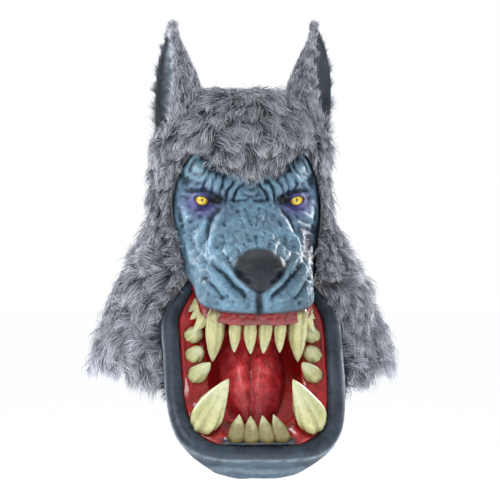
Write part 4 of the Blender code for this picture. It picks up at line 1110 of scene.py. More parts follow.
def face_paint(base, x, z, hollow, in_nose):
    """Blue-grey latex with a dark wash in its hollows that also paints the shade there, pale painted
    highlights brushed onto its ridges, purple round the eyes, a black nose, and more painted shade and light
    on the cheeks, round the slits, in the brow knobs' rings, along the face's edge and on the muzzle's fold."""
    patches = soft_noise(base, 22 * MM, 3)
    tint = mix(SKIN, np.array(SKIN) * 1.7, smooth(0.5 + 0.7 * patches))
    across, down = np.abs(x) / MM, z / MM
    socket = hump((across - 70) / 24) * hump((down + 156) / 19)
    tint = mix(tint, SKIN_PURPLE, np.clip(1.25 * socket, 0, 0.95))
    # A dark wash in the hollows, which also paints the shade that falls there.
    tint = mix(tint, SKIN_DARK, 0.84 * ramp(hollow, 0.05, 1.7))
    # Painted highlights on the ridges.
    tint = mix(tint, SKIN_HIGHLIGHT, 0.46 * smooth((-hollow - 0.4) / 2.2) * (1 - socket))
    edge = np.interp(-down, [180, 200, 222, 246, 275], [62, 69, 76, 80, 84])
    cheek = smooth((across - edge) / 7) * smooth((-down - 182) / 14) * smooth((278 + down) / 16)
    tint = mix(tint, CHEEK_SHADE, np.where(x > 0, 0.88, 0.22) * cheek)
    # Painted highlight along the muzzle's fold on the mask's left side.
    far = line_distance(across, down, [(44, -168), (54, -188), (64, -213), (69, -236), (76, -258)])[0]
    ridge = hump(far / 3.0) * smooth(0.6 + 0.9 * patches) * (x > 0)
    tint = mix(tint, RIDGE_HIGHLIGHT, 0.42 * ridge)
    lit = hump((x / MM + 78) / 26) * hump((down + 205) / 30)
    shaded = smooth((x / MM - 14) / 30) * smooth((-down - 205) / 30)
    tint = tint * (1 + 0.32 * lit - 0.32 * shaded)[..., None]
    # Painted shade round the see-through slit at each eye's inner corner.
    inner = hump((across - 50) / 12) * hump((down + 151) / 8)
    tint = mix(tint, SKIN_DARK, np.clip(1.3 * inner, 0, 0.95))
    # Painted shade in the groove of each brow knob's ring.
    tint = mix(tint, SKIN_DARK, 0.80 * brow_block(x, z)[1])
    # Painted shade along the face's edge under the fur, deeper on the mask's left side.
    far = from_opening(x, z)[0]
    tint = mix(tint, SKIN_DARK, np.where(x > 0, 0.75, 0.15) * smooth((far + 7 * MM) / (7 * MM)))
    around = smooth(in_nose + 0.10 * patches)
    tint = mix(tint, NOSE_BLACK, 0.97 * around)
    cleft = hump(across / 5) * smooth((-down - 280) / 8)
    tint = mix(tint, NOSE_BLACK, 0.85 * cleft)
    rows = len(base)
    lip = smooth((np.arange(rows) - (rows - 5)) / 4.0)[:, None] + 0 * x
    return mix(tint, LIP_DARK, 0.9 * lip)


def set_eye(surface, tint, side):
    """Lids closely round an eye, with an almond opening that its front shows through."""
    u = side * surface[..., 0] - EYE_SPACING / 2
    v = surface[..., 2] + EYE_DROP
    near = surface[..., 1] < -20 * MM
    far = np.hypot(u, v)
    along, up = slanted(u / MM, v / MM, EYE_SLANT)
    along = along / EYE_HALF_WIDTH
    upper, lower = EYE_UPPER_LID * (1 - along**2), -EYE_LOWER_LID * (1 - along**2)
    rim = np.where(up > 0, up - upper, lower - up)
    ball = EYE_CENTRE_Y - np.sqrt(np.maximum(EYE_RADIUS**2 - np.minimum(far, 12.5 * MM) ** 2, 0))
    brow_fold = hump((up - 8.5) / 3.5) * smooth((1.5 - np.abs(along)) / 0.3)
    lid = ball - 1.8 * MM - 2.2 * MM * brow_fold + 5.0 * MM * smooth((1.0 - rim) / 2.0)
    share = np.where(near, smooth((17.5 * MM - far) / (4.5 * MM)), 0)
    surface = surface.copy()
    surface[..., 1] = surface[..., 1] * (1 - share) + lid * share
    dark = hump(np.maximum(rim, 0) / 1.8) * smooth((1.5 - np.abs(along)) / 0.4) * near
    return surface, mix(tint, LID_DARK, np.clip(1.1 * dark, 0, 1))


def make_eyes(finish):
    polar = np.linspace(0.012, math.pi - 0.012, EYE_GRID[0])[:, None]
    turn = turns(EYE_GRID[1])[None]
    for name, side in SIDES:
        radius = EYE_RADIUS * (1 + 0.035 * np.exp(-((polar / 0.55) ** 4)))
        x = radius * np.sin(polar) * np.cos(turn)
        z = radius * np.sin(polar) * np.sin(turn)
        y = -radius * np.cos(polar) + 0 * turn
        points = np.stack([side * EYE_SPACING / 2 + x, EYE_CENTRE_Y + y, z - EYE_DROP], -1)
        streak = 0.5 + 0.5 * np.sin(turn * 23 + 2 * np.sin(turn * 5)) * np.sin(turn * 11 + 1.3)
        tint = mix(EYE_YELLOW, np.array(EYE_YELLOW) * [0.9, 0.72, 0.6], streak * (polar > 0.2))
        tint = mix(tint, EYE_OCHRE, ramp(polar, 0.42, 0.22) + 0 * turn)
        tint = mix(tint, EYE_RIM, ramp(polar, 0.62, 0.12) + 0 * turn)
        slit = np.hypot(x / (1.3 * MM), z / (2.6 * MM))
        tint = mix(tint, EYE_SLIT, np.where(polar < 1.0, smooth((1.25 - slit) / 0.4), 0))
        faces = ring_faces(*EYE_GRID, first=True)
        obj = add_object("eye_glass_" + name, points, faces, finish, tint)
        stand_in(obj, "eye_" + name)


# Upper mouth


def lip_edge(surface, columns):
    """The muzzle's part of the lip, just inside the skin, from left to right."""
    chosen = (columns >= LIP_PLACE) & (columns <= columns[-1] - LIP_PLACE)
    lip = surface[-1]
    along = np.gradient(lip, axis=0)
    inwards = unit(np.stack([along[:, 1], -along[:, 0], 0 * along[:, 0]], -1))
    middle = np.array([0, -HEAD_FRONT, 0])
    inwards = np.where(np.sum(inwards * (middle - lip), -1, keepdims=True) < 0, -inwards, inwards)
    point = lip + inwards * (FACE_WALL + GUM_GAP)
    point[:, 2] = lip_plane_z(point[:, 1])
    return point[chosen]


def drawn_in(edge, distance):
    share = 1 - distance / edge[:, 0].max()
    back = edge[:, 1].max()
    x, y = edge[:, 0] * share, back + (edge[:, 1] - back) * share
    return np.stack([x, y, lip_plane_z(y)], -1)


def tooth_feet(teeth, half_width, place_of):
    """The foot of each tooth: its place across and ahead, and half of its width each way."""
    feet = []
    for row in teeth:
        wide, thick = (row.wide, row.thick) if row.name.startswith("incisor") else (row.thick, row.wide)
        for _, side in SIDES:
            feet.append((side * row.across * half_width, place_of(row), wide / 2, thick / 2))
    return feet


def upper_tooth_y(row):
    return -(HEAD_FRONT + row.place * SNOUT_REACH)


def near_teeth(x, y, feet):
    """The distance from each point to the foot of the nearest tooth, where 1 is its edge."""
    nearest = np.full(x.shape, 9.0)
    for foot_x, foot_y, half_x, half_y in feet:
        nearest = np.minimum(nearest, np.hypot((x - foot_x) / half_x, (y - foot_y) / half_y))
    return nearest


def gum_paint(points, near):
    tint = mix(GUM_RED, np.array(GUM_RED) * [0.62, 0.6, 0.6], patchy(points, 9 * MM, 0.9))
    return mix(tint, GUM_DEEP, 0.8 * hump((near - 1.02) / 0.10))


def make_upper_gum(surface, columns, finish):
    """The gum that the upper teeth hang from: it bulges over each root, and folds in at the palate."""
    edge = lip_edge(surface, columns)
    section = [(4, -14), (1.2, -4), (0, 0), (-0.4, 5), (-0.2, 11), (0.6, 15.5), (2.4, 18.2), (6, 19)]
    section += [(12, 19), (19, 18.6), (26, 18.2), (30, 17.6), (34, 13.5), (39, 9)]
    spots = curve_at(section, np.linspace(0, len(section) - 1, 44))
    rings = []
    for inset, lower in spots:
        ring = drawn_in(edge, inset * MM)
        ring[:, 2] -= lower * MM
        rings.append(ring)
    rings = np.array(rings)
    feet = tooth_feet(UPPER_TEETH, FACE_HALF_WIDTH, upper_tooth_y)
    near = near_teeth(rings[..., 0], rings[..., 1], feet)
    lower = spots[:, 1][:, None]
    under = ramp(lower, 12, 5)
    bulge = hump((near - 1.3) / 0.45)
    rings[..., 2] -= under * bulge * 2.2 * MM
    outwards = unit(rings[8] - rings[-1])
    root = np.exp(-(np.minimum(near, 4) ** 2) / 3.0)
    outer = smooth((20 - np.abs(lower - 8)) / 20) * (spots[:, 0][:, None] < 3)
    wrinkle = soft_noise(rings * [1, 1, 0.35], 5 * MM, 2) - 1.1 * crackle(rings * [1, 1, 0.8], 7 * MM, 0.22)
    rings = rings + outwards[None] * ((1.6 * root - 0.6 + 0.7 * wrinkle) * outer * MM)[..., None]
    rings[..., 2] += 0.5 * MM * soft_noise(rings, 6 * MM, 2)
    # The gum's paint darkened as painted shade under the lip.
    tint = gum_paint(rings, near) * 0.62
    faces = ring_faces(*near.shape)
    obj = add_object("upper_gum_latex", rings, faces, finish, tint)
    shell(obj, UPPER_GUM_WALL * 0.8, None, None, "upper_gum")


def add_tooth(name, base, up, wide_axis, tip, row, finish, seed):
    """A curved tooth with lengthwise grooves, olive at its base and pale at its tip."""
    canine = row.name == "canine"
    sides, levels = (40, 30) if canine else (28, 20)
    profile = CANINE_PROFILE if canine else TOOTH_PROFILE
    if name.startswith("lower_incisor"):
        profile = LOWER_INCISOR_PROFILE
        tip = tip - np.array([6 * MM + 0.16 * base[0], 0, 0])
    if name.startswith("upper_canine"):
        profile = UPPER_CANINE_PROFILE
    rng = np.random.default_rng(100 + seed)
    tip = tip + wide_axis * rng.uniform(-1.5, 1.5) * MM + up * rng.uniform(-1.5, 1.0) * MM
    heights, girth = curve_at(profile, np.linspace(0, len(profile) - 1, levels)).T
    wide_axis = unit(wide_axis)
    thick_axis = unit(np.cross(up, wide_axis))
    lean = tip - base - up * row.tall
    turn = turns(sides)[None]
    h = heights[:, None]
    centre = base + up * row.tall * h[..., None] + lean * (np.maximum(h, 0) ** 1.8)[..., None]
    if name.startswith("upper_canine"):
        proud = unit(np.array([base[0] * 0.6, base[1] + HEAD_FRONT, 0.0]))
        centre = centre + proud * 3.5 * MM * smooth((0.25 - h) / 0.3)[..., None]
    grooves = np.sin(turn * 7 + seed) + 0.7 * np.sin(turn * 11 + 2.1 * seed) + 0.5 * np.sin(turn * 4 + seed)
    grooves = grooves * smooth((0.95 - h) / 0.5) * (0.040 if canine else 0.026)
    size = np.maximum(girth, 0.015)[:, None] * (1 + grooves)
    grown, thicker = (1.28, 1.28) if name.startswith("upper_side") else (1.0, 1.0)
    if name.startswith("lower_incisor"):
        grown = 1.12
    wide, thick = row.wide * grown, row.thick * thicker
    points = (
        centre
        + wide_axis * (np.cos(turn) * size * wide / 2)[..., None]
        + thick_axis * (np.sin(turn) * size * thick / 2)[..., None]
    )
    uneven = 0.5 * MM * soft_noise(points + seed, 9 * MM, 2)
    points = points + unit(points - centre) * (uneven * smooth((0.97 - h) / 0.3))[..., None]
    streaks = 0.6 * soft_noise(points * 0.6 + seed, 4 * MM, 2) - 6 * grooves
    tint = mix(TOOTH_CREAM, TOOTH_TIP, ramp(h, 0.45, 0.5) + 0 * turn)
    reach, strength = (1.22, 0.96) if name.startswith("lower_incisor") else (0.45, 0.78)
    stain = smooth((reach - h + heights[0] + 0.06 + 0.30 * streaks) / 0.6)
    tint = mix(tint, TOOTH_OLIVE, np.clip(strength * stain, 0, 1))
    tint = mix(tint, TOOTH_OLIVE, np.clip(-9 * grooves, 0, 0.45))
    tint = mix(tint, TOOTH_ROOT, 0.8 * smooth((heights[0] + 0.11 - h) / 0.07) + 0 * turn)
    faces = ring_faces(levels, sides, first=True)
    obj = add_object(name.replace("_", "_tooth_", 1), points, faces, finish, tint)
    stand_in(obj, name)


def make_upper_teeth(finish):
    down = np.array([0, math.sin(LIP_TILT), -math.cos(LIP_TILT)])
    for k, row in enumerate(UPPER_TEETH):
        for name, side in SIDES:
            y = upper_tooth_y(row)
            base = np.array([side * row.across * FACE_HALF_WIDTH, y, lip_plane_z(y) - UPPER_GUM_DROP])
            base = base + down * SEAT_GAP
            wide_axis = np.array([1.0, 0, 0]) if row.name.startswith("incisor") else np.array([0, -1.0, 0])
            wide_axis = wide_axis - down * wide_axis.dot(down)
            tip = base + down * row.tall + np.array([-side * row.lean_in, -row.lean_up, 0])
            full_name = "upper_%s_%s" % (row.name, name)
            add_tooth(full_name, base, down, wide_axis, tip, row, finish, 2 * k + (side > 0))


# Lower jaw


def mouth_corner():
    y = -(HEAD_FRONT - MOUTH_CORNER_SETBACK)
    return np.array([0, y, lip_plane_z(y)])


JAW_AHEAD = np.array([0, -math.cos(JAW_TILT), -math.sin(JAW_TILT)])
JAW_UP = np.array([0, -math.sin(JAW_TILT), math.cos(JAW_TILT)])


def jaw_point(x, ahead, level):
    """Points of the jaw from their place across it, ahead of the mouth's corners and above the gum."""
    x, ahead, level = np.broadcast_arrays(x, ahead, level)
    along = ahead[..., None] * JAW_AHEAD + level[..., None] * JAW_UP
    return mouth_corner() + along + np.stack([x, 0 * x, 0 * x], -1)


def jaw_outline(row, inset=0.0, count=JAW_GRID[1]):
    """One ring of the jaw, seen square to the gum, as arrays of across and ahead."""
    width, front, back, _, square = row
    front, back = front * JAW_LENGTH - inset, back * JAW_LENGTH - inset
    turn = turns(count)
    ahead = (front - back) / 2 + (front + back) / 2 * signed_power(np.sin(turn), square)
    narrowing = 1 - JAW_TAPER * smooth(1 - ahead / JAW_TAPER_LENGTH)
    half_width = width * JAW_HALF_WIDTH - inset
    return half_width * narrowing * signed_power(np.cos(turn), square), ahead


def make_lid_cutter():
    """Everything above the lip's plane, so that the jaw's pieces end just under the face."""
    low = mouth_corner() - [0, 0, SEAM_GAP / math.cos(LIP_TILT)]
    reach = 2 * JAW_LENGTH
    slope = np.array([0, math.cos(LIP_TILT), math.sin(LIP_TILT)])
    up = np.array([0, -math.sin(LIP_TILT), math.cos(LIP_TILT)])
    corners = [(-reach, -reach), (reach, -reach), (reach, reach), (-reach, reach)]
    rings = [
        [low + [x, 0, 0] + slope * s + up * rise for x, s in corners] for rise in (0.0, JAW_LENGTH)
    ]
    return add_object("lid_cutter", rings, ring_faces(2, 4, first=True))


def make_jaw_cutter():
    """The room that the jaw takes in the hood: its outer form, and everything in front of its rim."""
    outer = JAW_ROWS[3:]
    rings = [(outer[1], 2 * JAW_DEPTH), *((row, 0.0) for row in outer[1:]), (outer[-1], -ROOM_GAP)]
    points = [
        jaw_point(*jaw_outline(row, -ROOM_GAP, 40), row[3] * JAW_DEPTH + raised) for row, raised in rings
    ]
    return add_object("jaw_cutter", points, ring_faces(len(points), 40, first=True))


def make_jaw_skin(finish, lid):
    """The broad smooth lip and the chin, slate with a painted highlight along its edge and a brushed blue
    chin.
    """
    place = np.linspace(0, len(JAW_ROWS) - 1, JAW_GRID[0])[:, None]
    rows = curve_at(JAW_ROWS, place[:, 0])
    rings = np.array([jaw_point(*jaw_outline(row), row[3] * JAW_DEPTH) for row in rows])
    ahead = (rings - mouth_corner()) @ JAW_AHEAD / JAW_LENGTH
    outwards = unit(rings - rings.mean(axis=1, keepdims=True))
    wave = soft_noise(rings, 38 * MM, 2)
    folds = np.sin((place - 4.2) * 7.0 + 2.0 * wave) * ramp(place, 4.4, 0.8)
    grain = soft_noise(rings, 8 * MM, 2)
    bulge = (1.1 * wave + 1.0 * folds + 0.35 * grain) * ramp(place, 1.0, 0.6)
    rings = rings + outwards * (bulge * MM)[..., None]
    tint = mix(SLATE, np.array(SLATE) * 2.0, patchy(rings, 26 * MM))
    # Painted highlight along the lip's outer edge.
    edge = hump((place - 4.05) / 0.22) * smooth(0.75 + 0.6 * grain)
    tint = mix(tint, SLATE_HIGHLIGHT, 0.55 * edge)
    low = rings[..., 2] / MM
    brushed = smooth(0.62 + 0.9 * soft_noise(rings * [0.35, 1, 1.4], 7 * MM, 3))
    aside = np.abs(rings[..., 0]) / MM
    chin = smooth((-low - 522 - 16 * (aside / 70) ** 2) / 7) * smooth((84 - aside) / 16)
    chin = chin * ramp(place, 4.1, 0.4) * ramp(ahead, 0.86, 0.12)
    tint = mix(tint, CHIN_BLUE, np.clip(chin * (0.45 + 0.55 * brushed), 0, 1))
    # Painted highlights on the crests of the chin's folds.
    tint = mix(tint, SLATE_HIGHLIGHT, 0.25 * chin * ramp(folds, 0.1, 0.8))
    side_blue = ramp(place, 4.3, 0.6) * (1 - chin)
    tint = mix(tint, np.array(SKIN) * 0.6, 0.45 * side_blue * brushed)
    obj = add_object("jaw_latex", rings, ring_faces(*JAW_GRID), finish, tint)
    shell(obj, JAW_WALL, lid, SLATE, "jaw_skin")


def make_lower_gum(finish, lid):
    """The red ring round the jaw, with a collar round each tooth."""
    row = JAW_ROWS[1]
    section = [(0.0, -4.0), (-0.2, -2.2), (0.5, -0.6), (2.5, 0.5), (6, 1.2), (11, 1.6), (17, 1.7)]
    section += [(23, 1.5), (29, 0.9), (34, 0.0), (37, -1.6), (38, -3.2), (37.5, -4.6), (30, -5.0)]
    section += [(15, -5.0), (5, -4.8)]
    spots = curve_at(section + section[:1], np.linspace(0, len(section), 53)[:-1])
    feet = tooth_feet(LOWER_TEETH, JAW_HALF_WIDTH, lambda tooth: tooth.place * JAW_LENGTH)
    layers, closeness = [], []
    for across, level in spots:
        x, ahead = jaw_outline(row, SEAM_GAP + across * MM)
        near = near_teeth(x, ahead, feet)
        collar = 3.4 * hump((near - 1.22) / 0.30) * (level > -2)
        layers.append(jaw_point(x, ahead, (level + collar) * MM))
        closeness.append(near)
    points, near = np.array(layers), np.array(closeness)
    tint = gum_paint(points, near)
    offset = points - mouth_corner()
    worn = smooth((offset @ JAW_AHEAD - 0.985 * JAW_LENGTH) / (3 * MM))
    worn = worn * smooth((60 * MM - np.abs(points[..., 0])) / (9 * MM))
    tint = mix(tint, SLATE, worn)
    bumps = 0.9 * soft_noise(points, 8 * MM, 2) * (spots[:, 1] > -3)[:, None]
    points = points + JAW_UP * (bumps * MM)[..., None]
    rows, count = points.shape[:2]
    quads = grid_quads(rows + 1, count, wrap=True) % (rows * count)
    obj = add_object("lower_gum_latex", points, quads.tolist(), finish, tint)
    shell(obj, None, lid, GUM_DEEP, "lower_gum")


def make_lining(finish, lid):
    """The wet walls and floor of the mouth."""
    levels, count = LINING_GRID
    rows = curve_at(LINING_ROWS, np.linspace(0, len(LINING_ROWS) - 1, levels))
    rings = [jaw_point(*jaw_outline(row, 0.0, count), row[3] * JAW_DEPTH) for row in rows]
    last = rings[-1]
    middle = last.mean(axis=0)
    rings += [middle + (last - middle) * share for share in (0.85, 0.65, 0.45, 0.25, 0.08)]
    rings = np.array(rings)
    folds = 1.6 * soft_noise(rings, 14 * MM, 3)
    rings = rings + JAW_UP * (folds * MM * 0.5)[..., None]
    low = (rings - mouth_corner()) @ JAW_UP / JAW_DEPTH
    # Painted light: the red is brighter than the gum's, and painted shade darkens it deeper down.
    tint = mix(np.array(GUM_RED) * 1.45, np.array(GUM_RED) * 1.2, smooth((-low - 0.02) / 0.5))
    faces = ring_faces(len(rings), count)
    obj = add_object("mouth_lining_latex", rings, faces, finish, tint)
    shell(obj, LINING_WALL, lid, GUM_DEEP, "mouth_lining")


def make_tongue(finish):
    floor = LINING_ROWS[-1][3] * JAW_DEPTH + LINING_WALL + SEAT_GAP
    start = 0.31 * JAW_LENGTH
    t = np.linspace(0, 1, TONGUE_GRID[0])[:, None]
    u = np.linspace(-1, 1, TONGUE_GRID[1])[None]
    half_width = TONGUE_WIDTH / 2 * (1 - 0.75 * t**5) * (0.82 + 0.18 * np.sin(math.pi * t))
    height = TONGUE_HEIGHT * (1 - 0.80 * t**4) * (0.80 + 0.2 * np.sin(math.pi * t))
    arch = (1 - np.abs(u) ** 3) * height
    groove = TONGUE_GROOVE * hump(u / 0.16) * (1 - 0.5 * t)
    rise = np.maximum(TONGUE_WALL, arch - groove)
    x = u * half_width - 5 * MM * smooth(t / 0.4) * (1 - u * u)
    ahead = start + t * TONGUE_LENGTH + 0 * u
    top = jaw_point(x, ahead, floor + rise)
    pimples = 0.9 * crackle(top, 3.6 * MM, 0.30) + 1.2 * soft_noise(top, 13 * MM, 2)
    top = top - JAW_UP * (pimples * 0.9 * MM)[..., None]
    bottom = jaw_point(x, ahead, floor + rise - TONGUE_WALL)
    patches = patchy(top, 15 * MM, 0.9)
    tint = mix(TONGUE_RED, np.array(TONGUE_RED) * [1.35, 3.6, 2.8], patches * 0.8)
    # Painted shade in the middle groove, along the sides and in the dips between the bumps.
    tint = mix(tint, GUM_DEEP, 0.60 * hump(u / 0.08) + 0 * t)
    tint = mix(tint, GUM_DEEP, 0.5 * smooth((np.abs(u) - 0.84) / 0.16) + 0 * t)
    # Painted light brightens the back of the tongue, where the upper jaw shades it.
    tint = mix(tint, GUM_DEEP, 0.45 * (pimples / 0.8).clip(0, 1)) * (1.7 - 0.7 * t[..., None])
    points, tint = np.concatenate([top, bottom]), np.concatenate([tint, tint])
    obj = add_object("tongue_latex", points, sheet_faces(*TONGUE_GRID), finish, tint)
    stand_in(obj, "tongue")


def make_lower_teeth(finish):
    for k, row in enumerate(LOWER_TEETH):
        for name, side in SIDES:
            x = side * row.across * JAW_HALF_WIDTH
            base = jaw_point(x, row.place * JAW_LENGTH, SEAT_GAP)
            wide_axis = np.array([1.0, 0, 0]) if row.name.startswith("incisor") else JAW_AHEAD
            tip = base + JAW_UP * row.tall - JAW_AHEAD * row.lean_up - np.array([side * row.lean_in, 0, 0])
            full_name = "lower_%s_%s" % (row.name, name)
            add_tooth(full_name, base, JAW_UP, wide_axis, tip, row, finish, 20 + 2 * k + (side > 0))


# Ears


def ear_grid(side, inset, grid_size=EAR_GRID):
    """The ear's cup as rows of points from its front rim round its inner side to its rear rim."""
    levels, columns = grid_size
    rows = curve_at(EAR_ROWS, np.linspace(0, len(EAR_ROWS) - 1, levels))
    rise, medial, front, rear, depth = (rows[:, k][:, None] for k in range(5))
    splay = np.sin(math.pi * np.clip(rise, 0, 1))
    front, rear = front + EAR_SIDES[side].front * splay, rear + EAR_SIDES[side].rear * splay
    turn = math.pi * (np.linspace(0, 1, columns)[None] - 0.5)
    bulge = np.maximum(np.cos(turn), 0) ** 0.9
    rim = front + (rear - front) * (1 + np.sin(turn)) / 2
    x = (rim + (medial - (front + rear) / 2) * bulge) * EAR_SPREAD
    y = EAR_SETBACK + np.sin(turn) * depth * EAR_DEPTH / 2
    z = rise * EAR_HEIGHT - EAR_BASE_DROP + 0 * turn
    grid = np.stack([side * x, y, z], -1)
    return grid + grid_normals(grid) * (side * inset)


def make_hood_lump():
    """The hood as a closed lump, which the ears stand on."""
    rings = hood_point(*hood_mesh(*LUMP_GRID), PILE_FOOT)
    return add_object("hood_lump_cutter", rings, ring_faces(*LUMP_GRID, first=True))


def make_ear(side, name, finishes, lump):
    """The ear's cloth, and the pale skin in its cup, with painted shade at its rear and foot and over all of
    the right one.
    """
    outer, inner = ear_grid(side, 0.0), ear_grid(side, EAR_CLOTH)
    felt = mix(*EAR_FELT, soft_noise(outer, 9 * MM) * 0.5 + 0.5)
    points, tint = np.concatenate([outer, inner]), np.concatenate([felt, felt])
    faces = sheet_faces(*EAR_GRID)
    obj = add_object("ear_cloth_" + name, points, faces, finishes["cloth"], tint)
    shell(obj, None, lump, (0.035, 0.033, 0.038), "ear_" + name)

    lining_out = EAR_CLOTH + 0.1 * MM
    outer, inner = ear_grid(side, lining_out), ear_grid(side, lining_out + EAR_LINING)
    across = np.linspace(0, 1, EAR_GRID[1])[None]
    rise = np.linspace(0, 1, EAR_GRID[0])[:, None]
    ridges = np.sin(across * 34 + 3 * soft_noise(inner, 30 * MM, 2))
    inner = inner + grid_normals(inner) * side * (0.5 * MM * ridges)[..., None]
    mottle = soft_noise(inner, 14 * MM, 3)
    tint = mix(*EAR_SKIN, smooth(0.5 + 0.8 * mottle))
    # Painted shade at the rear of the cup.
    rear = smooth((across - EAR_SIDES[side].dark_rear) / 0.14)
    tint = mix(tint, EAR_SHADE, 0.93 * rear + 0 * rise)
    # Painted shade over the right ear's lining.
    tint = tint * (1.0 if side > 0 else (0.42 + 0.35 * smooth(mottle))[..., None])
    # Painted shade at the foot of the cup.
    root = smooth((EAR_SIDES[side].dark_foot - rise - 0.30 * across) / 0.16)
    tint = mix(tint, EAR_FOOT_SHADE, 0.85 * root)
    points, tint = np.concatenate([outer, inner]), np.concatenate([tint, tint])
    obj = add_object("ear_skin_" + name, points, faces, finishes["ear"], tint)
    shell(obj, None, lump, (0.02, 0.03, 0.04), "ear_lining_" + name)


def make_ear_fur(side, name, finish):
    """Short fur that lies up the ear's outside and over its rim, longest at its foot."""
    rng = np.random.default_rng(40 + side)
    count = EAR_STRANDS
    grid = ear_grid(side, 0.0, EAR_FUR_GRID)
    normals = grid_normals(grid) * -side
    up = unit(np.gradient(grid, axis=0))
    top, end = EAR_FUR_GRID[0] - 1, EAR_FUR_GRID[1] - 1
    rows = top * rng.uniform(0.05, 1, count) ** 0.92
    columns = end * rng.uniform(0, 1, count)
    rim = rng.uniform(size=count) < 0.22
    columns = np.where(rim, end * (rng.uniform(size=count) < 0.5) + rng.normal(0, 0.6, count), columns)
    rows, columns = np.clip(rows, 0, top - 0.01), np.clip(columns, 0, end - 0.01)
    i, j = rows.astype(int), columns.astype(int)
    s, t = (rows - i)[:, None], (columns - j)[:, None]

    def read(values):
        low = values[i, j] * (1 - t) + values[i, j + 1] * t
        high = values[i + 1, j] * (1 - t) + values[i + 1, j + 1] * t
        return low * (1 - s) + high * s

    root, normal, way = read(grid), unit(read(normals)), unit(read(up))
    keep = ~in_hood(root, 3 * MM)
    root, normal, way, rows, rim = root[keep], normal[keep], way[keep], rows[keep], rim[keep]
    count = len(root)
    clump = soft_noise(root, 11 * MM, 2)
    way = unit(turned(way, normal, 1.3 * clump + rng.normal(0, 0.35, count)))
    share = rows / top
    size = (11 + 12 * smooth((0.55 - share) / 0.4) + 3 * ramp(share, 0.9, 0.1)) * MM
    size = size * rng.uniform(0.6, 1.2, count)
    lift = rng.uniform(0.5, 1.2, count)
    curl = rng.uniform(0.5, 2.2, count) * MM
    phase = 6 * clump + rng.normal(0, 0.8, count)
    paths = strand_points(root - normal * 0.5 * MM, normal, way, size, lift, curl, phase, None, None)
    shade = np.clip(1.0 + 0.5 * clump + rng.normal(0, 0.18, count), 0.5, 1.9) * np.where(rim, 1.2, 1.0)
    # Painted light on the right ear's fur.
    shade = shade * EAR_SIDES[side].fur
    widths = STRAND_WIDTH * 0.85 * rng.uniform(0.7, 1.2, count)
    add_fur("ear_fur_" + name, paths, widths, shade, rng, finish)


# Materials

# roughness and its spread, how much the colour is mottled, the grain's size in mm and depth, and the coat
Finish = namedtuple("Finish", "roughness spread mottle grain depth coat")
FINISHES = {
    "fur": Finish(0.62, 0.10, 0.12, 3.0, 0.0, 0.0),
    "cloth": Finish(0.92, 0.04, 0.25, 1.6, 0.9, 0.0),
    "latex": Finish(0.50, 0.10, 0.20, 1.4, 0.35, 0.0),
    "slate": Finish(0.42, 0.12, 0.25, 1.6, 0.25, 0.05),
    "wet": Finish(0.20, 0.10, 0.18, 2.2, 0.30, 0.6),
    "tongue": Finish(0.34, 0.10, 0.22, 1.5, 0.75, 0.20),
    "tooth": Finish(0.34, 0.10, 0.14, 1.8, 0.18, 0.25),
    "eye": Finish(0.10, 0.03, 0.08, 2.0, 0.02, 1.0),
    "ear": Finish(0.55, 0.10, 0.20, 1.4, 0.30, 0.0),
}


def set_inputs(node, values):
    for name, value in values.items():
        node.inputs[name].default_value = value


def make_finish(name):
    """A shader that takes its colour from the mesh's tint, mottles it, and adds a fine grain."""
    finish = FINISHES[name]
    made = bpy.data.materials.new("mask_" + name)
    made.use_nodes = True
    nodes, links = made.node_tree.nodes, made.node_tree.links
    shader = nodes["Principled BSDF"]
    tint = nodes.new("ShaderNodeAttribute")
    tint.attribute_name = "tint"
    place = nodes.new("ShaderNodeTexCoord")

    def noise_map(size, low, high, detail):
        texture, spread = nodes.new("ShaderNodeTexNoise"), nodes.new("ShaderNodeMapRange")
        set_inputs(texture, {"Scale": 1 / (size * MM), "Detail": detail})
        set_inputs(spread, {"From Min": 0.3, "From Max": 0.7, "To Min": low, "To Max": high})
        links.new(place.outputs["Object"], texture.inputs["Vector"])
        links.new(texture.outputs["Fac"], spread.inputs["Value"])
        return texture, spread.outputs["Result"]

    _, mottle = noise_map(4 * finish.grain, 1 - finish.mottle, 1 + finish.mottle, 4)
    multiply = nodes.new("ShaderNodeMix")
    multiply.data_type = "RGBA"
    multiply.blend_type = "MULTIPLY"
    set_inputs(multiply, {"Factor": 1.0})
    links.new(tint.outputs["Color"], multiply.inputs["A"])
    links.new(mottle, multiply.inputs["B"])
    links.new(multiply.outputs["Result"], shader.inputs["Base Color"])
    dullest, glossiest = finish.roughness + finish.spread, finish.roughness - finish.spread
    _, gloss = noise_map(7 * finish.grain, glossiest, dullest, 3)
    links.new(gloss, shader.inputs["Roughness"])
    set_inputs(shader, {"Coat Weight": finish.coat, "Coat Roughness": 0.18})
    if finish.depth:
        grain, _ = noise_map(finish.grain, 0, 1, 5)
        bump = nodes.new("ShaderNodeBump")
        set_inputs(bump, {"Strength": finish.depth, "Distance": 0.5 * MM})
        links.new(grain.outputs["Fac"], bump.inputs["Height"])
        links.new(bump.outputs["Normal"], shader.inputs["Normal"])
    if name in ("latex", "slate", "ear"):
        set_inputs(shader, {"Specular IOR Level": 0.36})
    if name == "fur":
        set_inputs(shader, {"Sheen Weight": 0.25, "Sheen Roughness": 0.4, "Specular IOR Level": 0.35})
    return made


# Stage

FLOOR_REACH = 40.0
FLOOR_DROP = 0.62
LIT_AT = Vector((0, -0.06, -0.23))
VIEW_CENTRE = Vector((0.006, -0.05, -0.225))
VIEW_WIDTH = 0.735
VIEW_DISTANCE = 12.0
VIEW_TURN = math.radians(-7)

